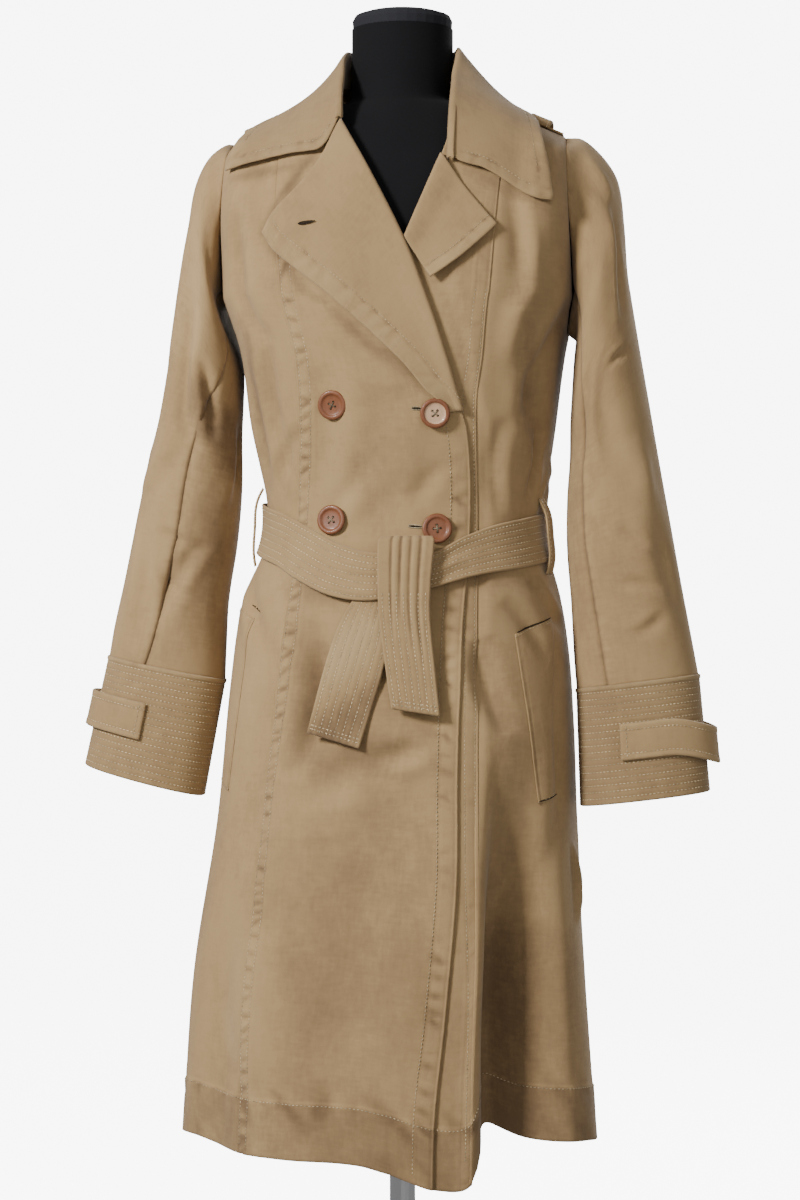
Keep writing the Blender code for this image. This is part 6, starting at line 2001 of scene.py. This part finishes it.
def soft_light(name, place, aim, size, power_watts):
    data = bpy.data.lights.new(name, "AREA")
    data.shape, data.size, data.energy = "SQUARE", size, power_watts
    made = new_object(name, data)
    made.location = place
    made.rotation_euler = (Vector(aim) - Vector(place)).to_track_quat("-Z", "Y").to_euler()


def make_studio():
    look = bpy.context.scene.coat_studio

    def paint(tree, place):
        pale = blended(tree, noise(tree, place["Object"], 0.7, 2.0), scaled(look.floor, 0.985),
                       scaled(look.floor, 1.0))
        return {"Base Color": pale, "Emission Color": pale, "Emission Strength": look.glow,
                "Roughness": 0.9}
    line = [(0.8, 0.0), (SWEEP_REACH, 0.0)]
    line += [(SWEEP_REACH + SWEEP_BEND * math.sin(a), SWEEP_BEND - SWEEP_BEND * math.cos(a))
             for a in np.linspace(0.0, math.pi / 2.0, 17)[1:]]
    line.append((SWEEP_REACH + SWEEP_BEND, SWEEP_TOP))
    points = [(0.0, 0.0, 0.0)] + [point for radius, z in line
                                  for point in circle(0.0, 0.0, z, radius, SWEEP_STEPS)]
    faces = [(0, 1 + i, 1 + (i + 1) % SWEEP_STEPS) for i in range(SWEEP_STEPS)]
    faces += (grid_faces(len(line), SWEEP_STEPS, True)[:, ::-1] + 1).tolist()
    floor = mesh_object("studio_sweep", points, faces, new_finish("studio_floor", paint))
    floor.visible_diffuse = floor.visible_glossy = False
    soft_light("key_light", (-1.9, -2.2, 2.35), (0.0, 0.0, 0.9), 0.65, look.key)
    soft_light("fill_light", (1.6, -3.0, 1.4), (0.0, 0.0, 0.9), 2.2, look.fill)
    soft_light("back_light", (1.1, 2.9, 2.1), (0.0, 0.0, 1.0), 2.0, look.back)
    world = bpy.data.worlds.new("studio")
    bpy.context.scene.world = world
    world.use_nodes = True
    background = world.node_tree.nodes["Background"]
    background.inputs["Color"].default_value = (1.0, 1.0, 1.0, 1.0)
    background.inputs["Strength"].default_value = look.ambient
    data = bpy.data.cameras.new("camera")
    data.lens, data.sensor_width, data.shift_x = LENS, 36.0, SHIFT
    camera = new_object("camera", data)
    turned = math.radians(CAMERA_TURN)
    camera.location = (CAMERA_DISTANCE * math.sin(turned), -CAMERA_DISTANCE * math.cos(turned),
                       CAMERA_HEIGHT)
    camera.rotation_euler = (math.pi / 2.0, 0.0, turned)
    bpy.context.scene.camera = camera


# ---- the add-on -----------------------------------------------------------------------------

def colour_property(name, description, value):
    return bpy.props.FloatVectorProperty(name=name, description=description, subtype="COLOR",
                                         size=3, min=0.0, max=1.0, default=value)


def length_property(name, description, value, low, high):
    return bpy.props.FloatProperty(name=name, description=description, default=value, min=low,
                                   max=high, subtype="DISTANCE", unit="LENGTH")


def power_property(name, description, value):
    return bpy.props.FloatProperty(name=name, description=description, default=value, min=0.0,
                                   unit="POWER")


class CoatCloth(bpy.types.PropertyGroup):
    colour: colour_property("Twill", "Colour of the cloth", (0.298, 0.192, 0.087))
    # The worn colour also paints the highlights, and the deep colour the shade, carried with the
    # cloth's worn tone.
    worn: colour_property("Worn", "Colour of worn ridges and faded clouds", (0.37, 0.253, 0.122))
    deep: colour_property("Deep", "Colour of hollows and unfaded cloth", (0.144, 0.087, 0.041))
    thread: colour_property("Thread", "Colour of the stitching", (0.64, 0.51, 0.31))
    crease: bpy.props.FloatProperty(
        name="Creases", description="How strongly the cloth is creased", default=2.6, min=0.0,
        max=3.0, subtype="FACTOR")
    pucker: length_property("Puckers", "Depth of the puckers along stitched bands", 0.0013,
                            0.0, 0.004)
    stitch_length: length_property("Stitch Length", "Length of one stitch", 0.0028, 0.001, 0.01)
    stitch_gap: length_property("Stitch Gap", "Cloth between two stitches", 0.001, 0.0002, 0.01)
    thread_radius: length_property("Thread Radius", "Half the thread's thickness", 0.00042,
                                   0.0001, 0.001)


class CoatTrim(bpy.types.PropertyGroup):
    brown: colour_property("Brown Button", "Colour of the brown buttons", (0.16, 0.055, 0.021))
    cream: colour_property("Pale Button", "Colour of the pale button", (0.46, 0.29, 0.175))
    jersey: colour_property("Jersey", "Colour of the form's cover", (0.0065, 0.0065, 0.0072))
    cap: colour_property("Cap", "Colour of the form's cap", (0.018, 0.018, 0.021))
    steel: colour_property("Steel", "Colour of the stand", (0.5, 0.5, 0.51))


class CoatStudio(bpy.types.PropertyGroup):
    floor: colour_property("Floor", "Colour of the floor and sweep", (0.92, 0.92, 0.92))
    key: power_property("Key Light", "Power of the main light", 165.0)
    fill: power_property("Fill Light", "Power of the fill light", 27.0)
    back: power_property("Back Light", "Power of the light behind", 80.0)
    glow: bpy.props.FloatProperty(name="Backdrop Glow", description="Glow of floor and backdrop",
                                  default=8.0, min=0.0)
    ambient: bpy.props.FloatProperty(name="Ambient", description="Strength of the room's light",
                                     default=0.4, min=0.0)


class CoatOperator:
    bl_options = {"REGISTER", "UNDO"}
    steps = ()

    def execute(self, context):
        for step in self.steps:
            step()
        return {"FINISHED"}


class COAT_OT_fronts(CoatOperator, bpy.types.Operator):
    """Build both fronts with their puckered seams"""
    bl_idname, bl_label = "coat.fronts", "Fronts"
    steps = (make_fronts,)


class COAT_OT_back(CoatOperator, bpy.types.Operator):
    """Build the back and the body's rows of stitching"""
    bl_idname, bl_label = "coat.back", "Back and Stitching"
    steps = (make_back, sew_body)


class COAT_OT_lapels(CoatOperator, bpy.types.Operator):
    """Build the lapels and the buttonholes"""
    bl_idname, bl_label = "coat.lapels", "Lapels"
    steps = (make_lapels,)


class COAT_OT_collar(CoatOperator, bpy.types.Operator):
    """Build the collar over its stand"""
    bl_idname, bl_label = "coat.collar", "Collar"
    steps = (make_collar,)


class COAT_OT_sleeves(CoatOperator, bpy.types.Operator):
    """Build the two-piece sleeves, the stitched cuffs and their straps"""
    bl_idname, bl_label = "coat.sleeves", "Sleeves and Cuffs"
    steps = tuple((lambda make=make, side=side: make(side))
                  for make in (make_sleeve, make_cuff) for side in (-1, 1))


class COAT_OT_belt(CoatOperator, bpy.types.Operator):
    """Build the belt, its loops, knot and ends"""
    bl_idname, bl_label = "coat.belt", "Belt"
    steps = (make_belt, make_belt_loops, make_belt_ends)


class COAT_OT_buttons(CoatOperator, bpy.types.Operator):
    """Build the four buttons"""
    bl_idname, bl_label = "coat.buttons", "Buttons"
    steps = (make_buttons,)


class COAT_OT_pockets(CoatOperator, bpy.types.Operator):
    """Build the pocket welts and the epaulettes"""
    bl_idname, bl_label = "coat.pockets", "Pockets and Epaulettes"
    steps = (make_pockets, make_epaulettes)


class COAT_OT_form(CoatOperator, bpy.types.Operator):
    """Build the dress form and finish its stand"""
    bl_idname, bl_label = "coat.form", "Dress Form"
    steps = (make_form,)


class COAT_OT_studio(CoatOperator, bpy.types.Operator):
    """Set up the floor, lights and camera"""
    bl_idname, bl_label = "coat.studio", "Studio"
    steps = (make_studio,)


OPERATORS = (COAT_OT_form, COAT_OT_fronts, COAT_OT_back, COAT_OT_lapels, COAT_OT_collar,
             COAT_OT_sleeves, COAT_OT_belt, COAT_OT_buttons, COAT_OT_pockets, COAT_OT_studio)


class COAT_PT_panel(bpy.types.Panel):
    bl_idname, bl_label = "COAT_PT_panel", "Trench Coat"
    bl_space_type, bl_region_type, bl_category = "VIEW_3D", "UI", "Trench Coat"

    def draw(self, context):
        for settings in (context.scene.coat_cloth, context.scene.coat_trim,
                         context.scene.coat_studio):
            for name in settings.__annotations__:
                self.layout.prop(settings, name)
        for operator in OPERATORS:
            self.layout.operator(operator.bl_idname)


GROUPS = {"coat_cloth": CoatCloth, "coat_trim": CoatTrim, "coat_studio": CoatStudio}


def register():
    for made in (*GROUPS.values(), *OPERATORS, COAT_PT_panel):
        bpy.utils.register_class(made)
    for name, group in GROUPS.items():
        setattr(bpy.types.Scene, name, bpy.props.PointerProperty(type=group))


def unregister():
    for name in GROUPS:
        delattr(bpy.types.Scene, name)
    for made in reversed((*GROUPS.values(), *OPERATORS, COAT_PT_panel)):
        bpy.utils.unregister_class(made)


def main():
    register()
    for operator in OPERATORS:
        family, name = operator.bl_idname.split(".")
        getattr(getattr(bpy.ops, family), name)()


if __name__ == "__main__":
    main()
